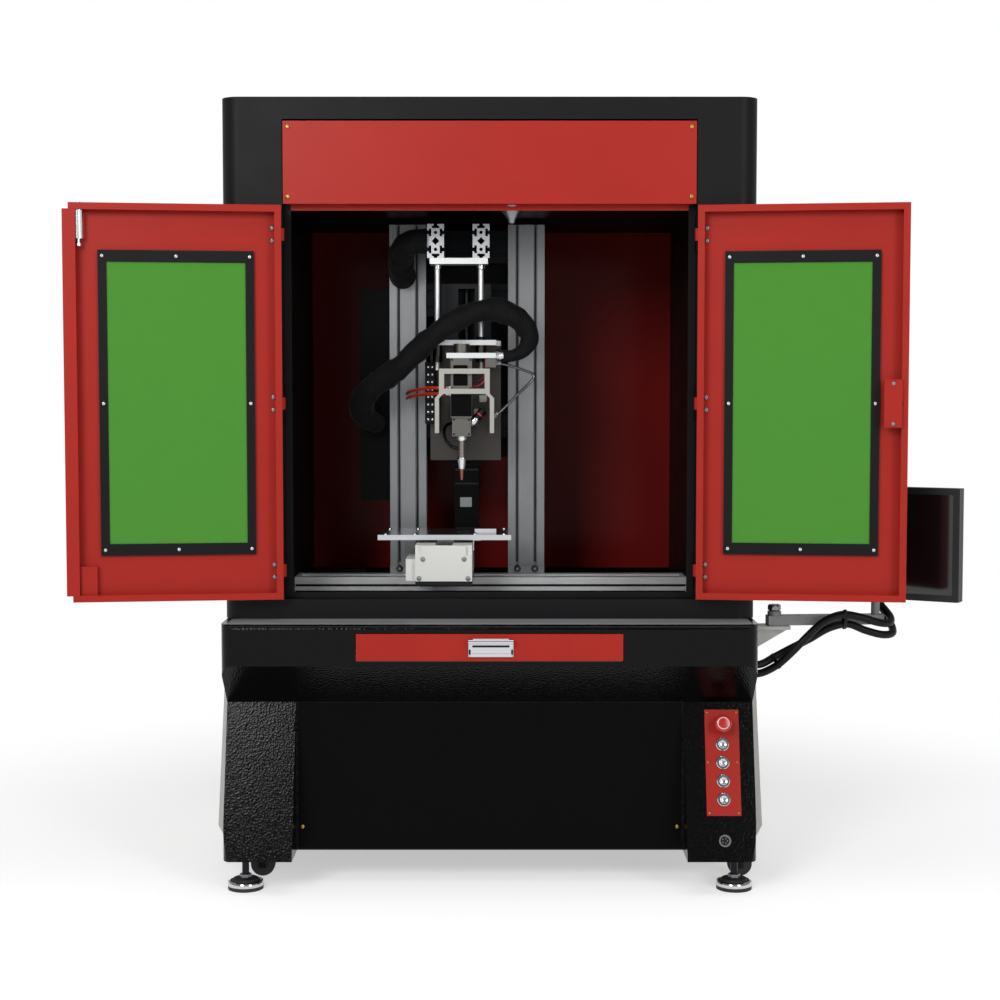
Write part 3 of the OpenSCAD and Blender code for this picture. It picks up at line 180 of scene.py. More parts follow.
def moved(shape, turn):
    """A shape carried by a function of its points."""
    points, faces = shape
    return turn(points), faces


def laid(shape, x_to, y_to, z_to, foot):
    """A shape carried from its own axes to three given directions at a foot point."""
    p, f = shape
    return p @ np.array([unit(x_to), unit(y_to), unit(z_to)]) + np.asarray(foot, float), f


def joined(shapes):
    """Several shapes as one: their points in a row, with the faces' numbers shifted along."""
    points, faces, n = [], [], 0
    for p, f in shapes:
        points.append(p)
        faces += [[q + n for q in face] for face in f]
        n += len(p)
    return np.concatenate(points), faces


def block(low, high, r=1.5, bevel=0.8, bar=0.0, face=None):
    """A rounded plate between two opposite corners; its rounded outline lies square to the face direction,
    which is its thinnest by default."""
    low, high = np.asarray(low, float), np.asarray(high, float)
    size = high - low
    k = int(np.argmin(size)) if face is None else face
    i, j = [(1, 2), (2, 0), (0, 1)][k]
    axes = np.eye(3)
    plate = slab((size[i], size[j], size[k]), r, bevel, bar=bar)
    return laid(plate, axes[i], axes[j], axes[k], (low + high) / 2)


def strap(middle, along_to, across_to, a, b, width, thick, sides=40):
    """A band round two cables: the ellipse a cos t, b sin t in the plane square to their run,
    with a flat profile of four corners."""
    along_to = unit(along_to)
    across_to = np.asarray(across_to, float)
    u = unit(across_to - (across_to @ along_to) * along_to)
    v = np.cross(along_to, u)
    t = np.arange(sides) * 2 * np.pi / sides
    c, s = np.cos(t)[:, None], np.sin(t)[:, None]
    rings = [np.asarray(middle, float) + h * width / 2 * along_to + (a + e * thick) * c * u + (b + e * thick) * s * v
             for h, e in ((-1, 0), (-1, 1), (1, 1), (1, 0))]
    return shell(np.stack(rings), True)


def curve(route, per=8):
    """A smooth line through a route's points, by the Catmull-Rom cubic between each two."""
    p = np.asarray(route, float)
    a, b, c, d = np.vstack([p[:1], p[:-2]]), p[:-1], p[1:], np.vstack([p[2:], p[-1:]])
    t = (np.arange(per) / per)[None, :, None]
    a, b, c, d = (q[:, None, :] for q in (a, b, c, d))
    line = (2 * b + (c - a) * t + (2 * a - 5 * b + 4 * c - d) * t**2 + (3 * b - a - 3 * c + d) * t**3) / 2
    return np.vstack([line.reshape(-1, 3), p[-1:]])


# Folds fade out over this length at a tube's ends, and their four waves add up to this height.
FOLD_END, FOLD_SUM = 25, 2.8


def along(line, radius, sides=20, fold=0.0):
    """A tube: a ring square to the line at each of its points, carried on without twist.
    Folds add a share of the radius by sines that run round and along the tube, none at its ends.
    Returns the shape, and the length and turn of each point for its pattern."""
    n = len(line)
    ahead = np.gradient(line, axis=0)
    ahead[0], ahead[-1] = line[1] - line[0], line[-1] - line[-2]
    ahead /= np.linalg.norm(ahead, axis=1)[:, None]
    side = np.zeros_like(line)
    u = across(ahead[0])[0]
    for i in range(n):
        u = unit(u - (u @ ahead[i]) * ahead[i])
        side[i] = u
    other = np.cross(ahead, side)
    t = np.arange(sides) * 2 * np.pi / sides
    s = np.concatenate([[0], np.cumsum(np.linalg.norm(np.diff(line, axis=0), axis=1))])
    r = np.broadcast_to(np.asarray(radius, float), (n,))[:, None]
    run = s[:, None]
    wave = (np.sin(run / 17 + 2 * t) + 0.7 * np.sin(run / 9.5 - 3 * t + 1) + 0.5 * np.sin(run / 31 + t)
            + 0.6 * np.sin(run / 5.5 + 1.4 * np.sin(2 * t) + 2))
    ends = np.minimum(1, np.minimum(s, s[-1] - s) / FOLD_END)[:, None]
    r = r * (1 + fold * ends * wave / FOLD_SUM)
    c, q = np.cos(t)[None, :, None], np.sin(t)[None, :, None]
    rings = line[:, None, :] + r[..., None] * (c * side[:, None, :] + q * other[:, None, :])
    return shell(rings), np.stack([np.repeat(s, sides), np.tile(t, n)], -1)


SHARP_EDGE = math.radians(38)


def piece(name, shape, material, body, spread=None):
    """One object at the origin from a shape, or a list of shapes, in machine millimetres.
    Spread is a pattern's (length, turn) at each point."""
    points, faces = joined(shape) if isinstance(shape, list) else shape
    mesh = bpy.data.meshes.new(name)
    mesh.from_pydata(at(points).tolist(), [], faces)
    if spread is not None:
        layer = mesh.uv_layers.new(name="along")
        corner = np.zeros(len(mesh.loops), np.int32)
        mesh.loops.foreach_get("vertex_index", corner)
        uv = spread[corner].copy()
        uv[:, 0] /= PER_M
        uv[:, 1] /= 2 * np.pi
        layer.data.foreach_set("uv", uv.astype(np.float32).ravel())
    mesh.validate()
    mesh.shade_smooth()
    mesh.set_sharp_from_angle(angle=SHARP_EDGE)
    mesh.materials.append(material)
    obj = bpy.data.objects.new(name, mesh)
    bpy.context.scene.collection.objects.link(obj)
    if body is not None:
        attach(obj, body)
    return obj


def screws(name, feet, axis, r, material, body):
    """A set of equal screws that all face one way, as one piece."""
    return piece(name, [screw(foot, axis, r) for foot in feet], material, body)


# Finishes


def linear(code):
    """An sRGB hex colour as linear red, green, blue and alpha."""
    c = np.array([int(code[i:i + 2], 16) for i in (1, 3, 5)]) / 255.0
    c = np.where(c <= 0.04045, c / 12.92, ((c + 0.055) / 1.055) ** 2.4)
    return (*c.tolist(), 1.0)


def add(tree, kind, settings=None, **sockets):
    """One node with its settings; a socket's value is a constant or another node's output to link."""
    n = tree.nodes.new(kind)
    for key, value in (settings or {}).items():
        setattr(n, key, value)
    for key, value in sockets.items():
        numbered = key[0] == "i" and key[1:].isdigit()
        socket = n.inputs[int(key[1:])] if numbered else n.inputs[key.replace("_", " ")]
        if isinstance(value, bpy.types.NodeSocket):
            tree.links.new(value, socket)
        else:
            socket.default_value = value
    return n


def finish(name, code, rough, metal=0.0, **sockets):
    """A material with one principled surface: returns it, its tree, the surface and the object coordinates."""
    m = bpy.data.materials.new(name)
    m.use_nodes = True
    t = m.node_tree
    t.nodes.clear()
    surface = add(t, "ShaderNodeBsdfPrincipled", None, Base_Color=linear(code), Roughness=rough, Metallic=metal,
                  **sockets)
    add(t, "ShaderNodeOutputMaterial", None, Surface=surface.outputs[0])
    place = add(t, "ShaderNodeTexCoord").outputs["Object"]
    m.diffuse_color = linear(code)
    return m, t, surface, place


# Most of a noise lies between these two values.
NOISE = {"From_Min": 0.3, "From_Max": 0.7}
# Sizes in millimetres of the clouds in a coat's colour and gloss, and in the colour of metals and mouldings.
COAT_CLOUD, GLOSS_CLOUD, METAL_CLOUD, MOULD_CLOUD = 140.0, 90.0, 60.0, 40.0
# Die lines are this many times longer than wide.
LINE_STRETCH = 40.0
# Width of a braid's strand as drawn, in millimetres, and the strands round a sleeve.
STRAND, STRANDS_ROUND = 3.0, 24.0


def shaded(tree, surface, code, place, size_mm, share, dark="#000000"):
    """Colour that wanders a little: noise of a real size mixes the base colour with a darker one by a small share."""
    n = add(tree, "ShaderNodeTexNoise", None, Vector=place, Scale=PER_M / size_mm, Detail=4.0)
    ramp = add(tree, "ShaderNodeMapRange", None, Value=n.outputs["Fac"], To_Min=0.0, To_Max=share, **NOISE)
    mix = add(tree, "ShaderNodeMix", {"data_type": "RGBA"}, i0=ramp.outputs[0], i6=linear(code), i7=linear(dark))
    tree.links.new(mix.outputs[2], surface.inputs["Base Color"])


def coat(name, code, rough, peel_mm, depth_mm, share=0.1, dark="#000000", **sockets):
    """Powder or lacquer on sheet steel: a fine peel in the bump, and a little cloud in colour and gloss."""
    m, t, surface, place = finish(name, code, rough, **sockets)
    shaded(t, surface, code, place, COAT_CLOUD, share, dark)
    cloud = add(t, "ShaderNodeTexNoise", None, Vector=place, Scale=PER_M / GLOSS_CLOUD, Detail=3.0)
    gloss = add(t, "ShaderNodeMapRange", None, Value=cloud.outputs["Fac"], To_Min=rough * 0.94, To_Max=rough * 1.07,
                **NOISE)
    t.links.new(gloss.outputs[0], surface.inputs["Roughness"])
    peel = add(t, "ShaderNodeTexNoise", None, Vector=place, Scale=PER_M / peel_mm, Detail=2.0)
    bump = add(t, "ShaderNodeBump", None, Strength=0.5, Distance=depth_mm / PER_M, Height=peel.outputs["Fac"])
    t.links.new(bump.outputs[0], surface.inputs["Normal"])
    return m


def hammered(name, code, rough, cell_mm, depth_mm, **sockets):
    """Hammer lacquer on sheet steel: smooth Voronoi cells of a real size press round dimples into a cloudy gloss."""
    m, t, surface, place = finish(name, code, rough, **sockets)
    shaded(t, surface, code, place, COAT_CLOUD, 0.1)
    cells = add(t, "ShaderNodeTexVoronoi", {"feature": "SMOOTH_F1"}, Vector=place, Scale=PER_M / cell_mm,
                Smoothness=0.6)
    bump = add(t, "ShaderNodeBump", None, Strength=0.5, Distance=depth_mm / PER_M, Height=cells.outputs["Distance"])
    t.links.new(bump.outputs[0], surface.inputs["Normal"])
    return m


def drawn(name, code, rough, along_axis, line_mm=1.6, depth_mm=0.05, metal=1.0):
    """Extruded or brushed metal: noise stretched forty times along one axis draws the die lines in gloss and bump."""
    m, t, surface, place = finish(name, code, rough, metal)
    scale = [PER_M / line_mm] * 3
    scale[along_axis] /= LINE_STRETCH
    stretch = add(t, "ShaderNodeMapping", None, Vector=place, Scale=scale)
    line = add(t, "ShaderNodeTexNoise", None, Vector=stretch.outputs[0], Scale=1.0, Detail=3.0)
    gloss = add(t, "ShaderNodeMapRange", None, Value=line.outputs["Fac"], To_Min=rough * 0.8, To_Max=rough * 1.3,
                **NOISE)
    t.links.new(gloss.outputs[0], surface.inputs["Roughness"])
    shaded(t, surface, code, place, METAL_CLOUD, 0.1, "#4a4c50")
    bump = add(t, "ShaderNodeBump", None, Strength=0.3, Distance=depth_mm / PER_M, Height=line.outputs["Fac"])
    t.links.new(bump.outputs[0], surface.inputs["Normal"])
    return m


def plain(name, code, rough, metal, grain_mm, depth_mm, share=0.1, dark="#000000", **sockets):
    """A moulded, cast or polished material: fine grain in the bump and a slight cloud in the colour."""
    m, t, surface, place = finish(name, code, rough, metal, **sockets)
    shaded(t, surface, code, place, MOULD_CLOUD, share, dark)
    grain = add(t, "ShaderNodeTexNoise", None, Vector=place, Scale=PER_M / grain_mm, Detail=2.0)
    bump = add(t, "ShaderNodeBump", None, Strength=0.4, Distance=depth_mm / PER_M, Height=grain.outputs["Fac"])
    t.links.new(bump.outputs[0], surface.inputs["Normal"])
    return m


def woven(name, code, gap_shade_code):
    """Braided nylon: two waves that cross round and along the tube give the strands,
    2 mm wide and drawn at 3 mm to show, with painted shade darkening the gap between them."""
    m, t, surface, _ = finish(name, code, 0.78, Sheen_Weight=0.06, Sheen_Roughness=0.4, Specular_IOR_Level=0.15)
    uv = add(t, "ShaderNodeUVMap", {"uv_map": "along"}).outputs[0]
    heights = []
    for lean in (1.0, -1.0):
        strands = add(t, "ShaderNodeMapping", None, Vector=uv, Scale=(PER_M / STRAND, lean * STRANDS_ROUND, 1.0))
        wave = add(t, "ShaderNodeTexWave", {"wave_type": "BANDS", "bands_direction": "DIAGONAL"},
                   Vector=strands.outputs[0], Scale=0.31, Distortion=0.4)
        heights.append(wave.outputs["Fac"])
    both = add(t, "ShaderNodeMath", {"operation": "MAXIMUM"}, i0=heights[0], i1=heights[1])
    bump = add(t, "ShaderNodeBump", None, Strength=0.6, Distance=0.6 / PER_M, Height=both.outputs[0])
    t.links.new(bump.outputs[0], surface.inputs["Normal"])
    mix = add(t, "ShaderNodeMix", {"data_type": "RGBA"}, i0=both.outputs[0], i6=linear(gap_shade_code), i7=linear(code))
    t.links.new(mix.outputs[2], surface.inputs["Base Color"])
    return m


def banded(material, axis, low_mm, high_mm, code):
    """The same metal between two places along an axis in another finish or in painted shade: the base colour is
    swapped there.
    """
    t = material.node_tree
    surface = next(n for n in t.nodes if n.type == "BSDF_PRINCIPLED")
    usual = surface.inputs["Base Color"].links[0].from_socket
    split = add(t, "ShaderNodeSeparateXYZ", None, Vector=add(t, "ShaderNodeTexCoord").outputs["Object"])
    middle, half = (low_mm + high_mm) / 2 - MIDDLE[axis], (high_mm - low_mm) / 2
    inside = add(t, "ShaderNodeMath", {"operation": "COMPARE"}, i0=split.outputs[axis], i1=middle / PER_M,
                 i2=half / PER_M)
    mix = add(t, "ShaderNodeMix", {"data_type": "RGBA"}, i0=inside.outputs[0], i6=usual, i7=linear(code))
    t.links.new(mix.outputs[2], surface.inputs["Base Color"])


# Black powder coat on the cabinet and window frames: satin, nearly even, with a fine peel.
black_powder = coat("black_powder_coat", "#121214", 0.45, 2.2, 0.03, Specular_IOR_Level=0.14)
# Black hammer lacquer on the base: glossy dimples 3 mm across that break reflections into glints,
# drawn at 4 mm to show.
hammer_black = hammered("black_hammer_lacquer", "#060607", 0.14, 4.0, 0.85, Specular_IOR_Level=0.14)
# Black lacquer on the centre panel and small black sheet parts: smoother than the powder coat.
black_lacquer = coat("black_lacquer", "#060606", 0.4, 3.0, 0.02, Specular_IOR_Level=0.05)
# Red powder coat on the doors, header, drawer and panel: satin gloss, a little darker where it clouds.
red_powder = coat("red_powder_coat", "#b0281f", 0.38, 2.0, 0.03, share=0.1, dark="#6d0f12", Specular_IOR_Level=0.2)
# Red gloss lacquer on the back wall, smooth so that it mirrors the columns; its deep red is the doors' red painted
# darker as shade inside the cabinet.
shaded_red_gloss = coat("red_gloss_lacquer_painted_shade", "#7c1c1b", 0.16, 12.0, 0.02, dark="#300608", Specular_IOR_Level=0.05)
# White powder coat on the side covers, arm bracket and table module: satin, a trace of grey where it clouds.
white_powder = coat("white_powder_coat", "#e2e2de", 0.4, 2.4, 0.02, share=0.06, dark="#8b8b86")
# Grey lacquer on the box of the laser source inside the base: satin.
grey_lacquer = coat("grey_lacquer", "#8c9095", 0.4, 3.0, 0.02)
# Grey paint on the monitor arm: satin, with a fine peel.
arm_grey = coat("grey_arm_paint", "#b4b6b7", 0.4, 2.4, 0.02)
# Grey lacquered sheet that covers the ledge, its light grey partly a painted reflection of the white surroundings at a
# glancing angle: scuffed darker in clouds.
ledge_sheet_painted_reflection = coat("grey_sheet_lacquer_painted_reflection", "#9b9da0", 0.3, 4.0, 0.02, share=0.2, dark="#4a4b4c")

# Axes that the die lines and cutter lines run along.
X, Y, Z = 0, 1, 2
# Anodised aluminium profiles: pale grey, matt, with die lines along their length.
profile_z = drawn("anodised_aluminium_upright", "#7f8183", 0.38, Z)
# Its members behind the two front beams are darkened as painted shade, further on.
profile_y_shaded_behind = drawn("anodised_aluminium_depth_shaded_behind", "#c3c6c9", 0.34, Y)
# The oxide on the cross profile scatters part of the light, so it is only half a mirror.
profile_x = drawn("anodised_aluminium_cross", "#e0e1e2", 0.34, X, metal=0.5)
# Milled aluminium of the table's flag: bright faces with fine cutter lines across.
milled = drawn("milled_aluminium", "#cfd1d3", 0.3, X, 1.2)
# Bead-blasted steel of the head's frame: warmer and duller than milled aluminium.
blasted = drawn("bead_blasted_steel", "#a6a49e", 0.4, X, 1.2)
# Dark grey anodised aluminium of the carriage, warmer grey on the head.
grey_anodised = drawn("grey_anodised_aluminium", "#413e3c", 0.36, Z)
head_grey = drawn("warm_grey_anodised_aluminium", "#66645f", 0.42, Z)
# Black anodised aluminium of the height module and the saddle: dark with a soft gloss.
dark_anodised = drawn("black_anodised_aluminium", "#232426", 0.42, X)
# Turned steel of fittings and small screws: bright, its rings too fine to see, so a soft gloss.
turned_steel = drawn("turned_steel", "#c9cccf", 0.22, Z, 1.0)
# Zinc-plated steel of rails, nuts, locks and larger screws: mid grey and dull.
zinc_steel = drawn("zinc_plated_steel", "#8f9296", 0.38, Z, 2.0)
# Ground steel of the bed: dark, with the grinder's lines across it.
bed_steel = drawn("ground_steel_plate", "#4c4e50", 0.45, X, 2.0)

# Satin steel of the rods, their hanger and the nozzle: a fine matt grind that scatters part of the light.
satin_steel = plain("satin_steel", "#eceeee", 0.4, 0.6, 1.0, 0.01, 0.06, "#9a9c9e")
# Ground steel of the table, the latch bolt and the button caps: nearly a mirror, with a trace of cloud.
ground_steel = plain("ground_steel", "#c9cccf", 0.2, 1.0, 30.0, 0.004, 0.08, "#8a8c8f")
# Polished dark steel of the bent pipe: dark, with a sharp bright line along it.
pipe_steel = plain("polished_dark_steel", "#66696c", 0.18, 1.0, 20.0, 0.005, 0.1, "#3a3c3e")
# Chrome plate on the latch, the pull, the bezels and the foot rims: a clean mirror with a trace of haze.
chrome = plain("chrome_plate", "#d3d5d8", 0.1, 1.0, 20.0, 0.01, 0.08, "#77797c")
# Yellow zinc plate on the screws of the header and the panels: warm and dull.
yellow_zinc = plain("yellow_zinc_plate", "#b9974f", 0.3, 1.0, 1.0, 0.02, 0.25, "#5d4a22")
# Blackened steel of screws, casters and the gas pipe: dark, with a low gloss.
black_screw = plain("blackened_steel", "#26272a", 0.36, 1.0, 1.0, 0.02)
# Copper of the nozzle tip: pinkish and a little tarnished.
copper = plain("tarnished_copper", "#9c5f55", 0.32, 0.8, 2.0, 0.02, 0.35, "#522828")
# Bare aluminium foil of the motor's plate: grey, with a soft shine.
label_foil = plain("bare_aluminium_foil", "#7b7d80", 0.35, 1.0, 1.0, 0.02, 0.15, "#55575a")
# Green acrylic of the door windows: even green, smooth, with a little light passing.
green_acrylic = plain("green_acrylic", "#479326", 0.2, 0.0, 60.0, 0.01, 0.04, "#2c6a20", IOR=1.49,
                      Transmission_Weight=0.06, Specular_IOR_Level=0.35)
# Black ABS of the monitor, handle, glands and seams, dark grey on the screen's rim: fine spark-eroded grain.
black_abs = plain("black_abs", "#101012", 0.42, 0.0, 1.0, 0.03, Specular_IOR_Level=0.2)
grey_abs = plain("dark_grey_abs", "#1d1e20", 0.4, 0.0, 1.0, 0.03, Specular_IOR_Level=0.25)
# White nylon of the small blocks and the stop's ring: moulded, dull and slightly warm.
white_nylon = plain("white_nylon", "#d9d9d4", 0.45, 0.0, 2.0, 0.02, 0.08, "#8a8a84")
# Red nylon of the emergency stop: moulded and glossy.
red_nylon = plain("red_nylon", "#c8201f", 0.25, 0.0, 3.0, 0.01, 0.06, "#6d0f12", Coat_Weight=0.3, Coat_Roughness=0.1)
# Black rubber of the pads, wheels and seal: dull with a faint bloom.
rubber = plain("black_rubber", "#1a1a1a", 0.62, 0.0, 1.5, 0.05, 0.3, "#3a3a3a")
# Black PVC of the monitor's cables: extruded, smooth and a little waxy.
cable_pvc = plain("black_pvc", "#0c0c0d", 0.45, 0.0, 2.5, 0.04, 0.2, "#1f1f20", Specular_IOR_Level=0.2)
# Red polyurethane of the air hoses: translucent and waxy, drawn opaque.
red_hose = plain("red_polyurethane", "#c8321f", 0.3, 0.0, 4.0, 0.01, 0.15, "#7a1a10", Subsurface_Weight=0.15,
                 Subsurface_Radius=(0.004, 0.001, 0.001))
# The same hose darkened to a deep crimson for the short risers, as painted shade behind the head's frame.
shaded_red_hose = plain("red_polyurethane_painted_shade", "#8a141c", 0.3, 0.0, 4.0, 0.01, 0.15, "#4a0a10")
# Screen glass: black, smooth, with a faint grey of the panel under it.
screen_glass = plain("screen_glass", "#0a0a0c", 0.12, 0.0, 80.0, 0.005, 0.2, "#16161a", Coat_Weight=0.5,
                     Coat_Roughness=0.04)
# Black nylon braid of the fibre sleeves: matt, with crossing strands.
nylon_braid = woven("black_nylon_braid", "#131315", "#060606")

# The members behind the two front beams are darkened to near black as painted shade; the carriage's top plate and the
# head's shelf are left bright.
banded(profile_y_shaded_behind, Y, 429.8, 480.0, "#141517")
banded(grey_anodised, Z, 1233.9, 1246.1, "#c6c8ca")
banded(head_grey, Z, 1201.9, 1214.1, "#cdcfd1")
# The nozzle's straight tube is dulled by heat, between its bright ring and cone.
banded(satin_steel, Z, 967.1, 1006.9, "#7d7670")

# The CAD pieces keep their shape and take their finish here.
FOUR = range(1, 5)
dress = {
    hammer_black: ["base_shell"],
    black_powder: ["cabinet_shell", "control_unit", "left_window_frame", "right_window_frame"],
    black_lacquer: ["front_panel", "axis_motors", "frame_hinges"],
    red_powder: ["header_panel", "left_door", "right_door", "drawer", "control_panel"],
    shaded_red_gloss: ["back_panel"],
    white_powder: ["side_covers", "arm_bracket", "y_module"],
    grey_lacquer: ["laser_source"],
    profile_z: ["columns", "column_brackets"],
    profile_y_shaded_behind: ["cross_beams"],
    profile_x: ["x_module"],
    blasted: ["head_bracket"],
    grey_anodised: ["z_carriage"],
    head_grey: ["laser_head"],
    arm_grey: ["monitor_arm"],
    dark_anodised: ["x_saddle", "z_module"],
    satin_steel: ["rod_hanger", "nozzle"],
    ground_steel: ["latch_bolt", "work_table"],
    zinc_steel: ["drawer_rails"] + ["button_%d" % i for i in FOUR],
    black_screw: ["caster_plates"] + ["caster_fork_%d" % i for i in FOUR],
    bed_steel: ["bed_plate"],
    chrome: ["left_latch", "drawer_handle", "button_bezels"],
    copper: ["nozzle_tip"],
    green_acrylic: ["left_window", "right_window"],
    black_abs: ["monitor", "door_handle"],
    red_nylon: ["estop_head"],
    rubber: ["foot_pads"] + ["caster_wheel_%d" % i for i in FOUR],
    cable_pvc: ["monitor_cables"],
    red_hose: ["air_hoses"],
    nylon_braid: ["fibre_sleeve"],
}
for material, names in dress.items():
    for name in names:
        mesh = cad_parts[name].data
        mesh.materials.clear()
        mesh.materials.append(material)

# Camera at the photograph's place.
camera = bpy.data.objects.new("camera", bpy.data.cameras.new("camera"))
camera.data.lens = 64.08
camera.data.sensor_width = 36.0
camera.location = (-0.0407, -4.366, 1.117)
camera.rotation_euler = (math.radians(86.6), 0.0, 0.0)
bpy.context.scene.collection.objects.link(camera)
bpy.context.scene.camera = camera

# Cords: the routes of the solids, in machine millimetres.
ARM_PIVOT, ARM_LENGTH, ARM_TURN, ARM_Z = (666, 150), 242, math.radians(5), 690.0
ARM_END = np.array([ARM_PIVOT[0] + ARM_LENGTH * math.cos(ARM_TURN), ARM_PIVOT[1] + ARM_LENGTH * math.sin(ARM_TURN),
                    ARM_Z])
CABLE_R, HOSE_R, RISER_R, BOOT_R = 9, 4, 3, 30.0
CABLE_A = [(595, 118, 468), (630, 118, 468), (668, 112, 488), (702, 106, 520), (736, 104, 556), (774, 106, 590),
           (816, 110, 606), (860, 112, 600), (900, 114, 588), (930, 130, 584), (941, 160, 592), (932, 188, 610),
           (910, 193, 634), ARM_END + (-10, 19, -19), ARM_END + (-10, 19, 0)]
CABLE_B = [(595, 118, 489), (630, 118, 489), (664, 130, 504), (704, 136, 524), (746, 134, 546), (790, 130, 572),
           (834, 128, 582), (874, 124, 568), (912, 124, 558), (940, 142, 558), (948, 174, 568), (942, 204, 590),
           (928, 214, 622), ARM_END + (10, 38, -19), ARM_END + (10, 38, 0)]
SLEEVE = [(-288, 440, 1046), (-288, 408, 1046), (-303, 374, 1060), (-314, 338, 1088), (-290, 296, 1128),
          (-205, 240, 1190), (-125, 205, 1262), (-52, 195, 1304), (15, 201, 1314), (66, 213, 1294), (92, 222, 1256),
          (80, 226, 1222), (48, 226, 1208), (13, 226, 1208)]
SLEEVE_R = [22, 25, 28, 29, 29, 27, 25, 25, 28, 27, 22, 18, 14, 12]
SLEEVE_TOP = [(-150, 262, 1480), (-166, 262, 1480), (-188, 266, 1477), (-205, 279, 1468), (-214, 300, 1455),
              (-217, 326, 1439), (-217, 354, 1423), (-217, 382, 1412), (-217, 402, 1409), (-217, 420, 1409)]
HOSE_A = [(-205, 420, 1118), (-205, 388, 1118), (-203, 356, 1120), (-197, 324, 1123), (-186, 294, 1126),
          (-169, 267, 1129), (-147, 244, 1132), (-120, 230, 1132), (-93, 230, 1132)]
HOSE_B = [(-205, 420, 1106), (-205, 388, 1106), (-202, 356, 1108), (-196, 323, 1111), (-184, 292, 1113),
          (-167, 265, 1116), (-146, 242, 1118), (-120, 228, 1118), (-93, 228, 1118)]
# Two points on each air hose's route, listed for the start and end of its bend from the machine to the head; nothing
# below uses them.
HOSE_A_BEND = ((-205, 400, 1118), (-110, 240, 1118))
HOSE_B_BEND = ((-205, 400, 1106), (-110, 240, 1106))
TO_HEAD, TO_ARM = ("machine", "welding_head"), ("machine", "monitor_arm")
STEPS = 10


def cord(name, route, radius, material, node, bodies, fold=0.0, sides=16):
    """A tube on a smooth curve through its route, attached to its first body."""
    line = curve(route, STEPS)
    radii = np.broadcast_to(radius, len(route)).astype(float)
    r = np.interp(np.arange(len(line)) / STEPS, np.arange(len(route)), radii)
    shape, spread = along(line, r, sides, fold)
    obj = piece(name, shape, material, None, spread)
    if len(bodies) == 2:
        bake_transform(obj)
    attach(obj, bodies[0])
    if node:
        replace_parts(obj, node)
    return obj


cord("fibre_sleeve_main", SLEEVE, SLEEVE_R, nylon_braid, "fibre_sleeve", TO_HEAD,
     0.15, 40)
# The upper sleeve is a short boot held at both ends, less than four diameters long.
boot, spread = along(curve(SLEEVE_TOP, STEPS), BOOT_R, 40, 0.12)
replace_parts(piece("fibre_sleeve_top", boot, nylon_braid, "machine", spread), "fibre_sleeve")
for name, route, bend in (("upper", HOSE_A, HOSE_A_BEND), ("lower", HOSE_B, HOSE_B_BEND)):
    cord("air_hose_" + name, route, HOSE_R, red_hose, "air_hoses", TO_HEAD)
for name, route in (("upper", CABLE_A), ("lower", CABLE_B)):
    cord("monitor_cable_" + name, route, CABLE_R, cable_pvc, "monitor_cables", TO_ARM)
# Ties round both cables, at two of the routes' points.
TIE_GAP, TIE_RISE, TIE_WIDTH, TIE_THICK = 0.6, 0.8, 7.0, 1.4
for name, i in (("lower", 2), ("upper", 6)):
    one, two = np.array(CABLE_A[i], float), np.array(CABLE_B[i], float)
    run = np.array(CABLE_A[i + 1], float) - np.array(CABLE_A[i - 1], float)
    half = np.linalg.norm(two - one) / 2 + CABLE_R + TIE_GAP
    band = strap((one + two) / 2, run, two - one, half, CABLE_R + TIE_RISE, TIE_WIDTH, TIE_THICK)
    tie = piece("cable_tie_" + name, band, black_abs, None)
    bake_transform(tie)
    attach(tie, "machine")

# Glands and fittings at the cords' ends, as profiles of radius and height.
NUT = (0, 1)
CABLE_GLAND = [(10.32, 0), (10.32, 7), (10.6, 8.5), (10.4, 15), (9.7, 19)]
DUCT_GLAND = [(27, 0), (27, 9), (25, 12), (23, 14)]
COLUMN_GLAND = [(32.5, 0), (32.5, 6), (31, 8)]
HEAD_GLAND = [(16, 0), (16, 11), (13.5, 13), (13, 18)]
HEAD_SPIGOT = [(9, -1), (9, 5), (7, 6)]
HOSE_FITTING = [(6.6, 0), (6.6, 6), (5.6, 7), (5.6, 12), (4.6, 13)]
HOSE_NUT = [(5.8, 0), (5.8, 5), (4.8, 6)]
piece("cable_glands", [turned(end, RIGHT, CABLE_GLAND, 30, NUT) for end in (CABLE_A[0], CABLE_B[0])], black_abs,
      "machine")
piece("sleeve_gland_duct", turned(SLEEVE[0], FRONT, DUCT_GLAND, 32, NUT), black_abs, "machine")
piece("sleeve_gland_column", turned(SLEEVE_TOP[-1], FRONT, COLUMN_GLAND, 36), black_abs, "machine")
piece("sleeve_gland_head", [turned(SLEEVE[-1], RIGHT, HEAD_GLAND, 30, NUT), turned(SLEEVE[-1], LEFT, HEAD_SPIGOT, 24)],
      turned_steel, "welding_head")
piece("hose_fittings", [turned(end, LEFT, HOSE_FITTING, 24, NUT) for end in (HOSE_A[-1], HOSE_B[-1])], turned_steel,
      "welding_head")
piece("hose_bulkhead", [turned(end, FRONT, HOSE_NUT, 24, NUT) for end in (HOSE_A[0], HOSE_B[0])], turned_steel,
      "machine")

# Screws of the header, the centre panel and the module's cap.
HEADER_Y, PANEL_Y, PANEL_Z, CAP_X, CAP_Y = 0, 5, 134, -106, 50
screws("header_screws", [(x, HEADER_Y, z) for x in (-450, 450) for z in (1557, 1711)], FRONT, 5.0, yellow_zinc,
       "machine")
screws("panel_screws", [(x, PANEL_Y, PANEL_Z) for x in (-427, 427)], FRONT, 5.0, yellow_zinc, "machine")
screws("cap_screws", [(CAP_X + x, CAP_Y, z) for x, z in ((-47, 741), (47, 741), (-56, 697), (56, 697))], FRONT, 5.5,
       zinc_steel, "x_saddle")

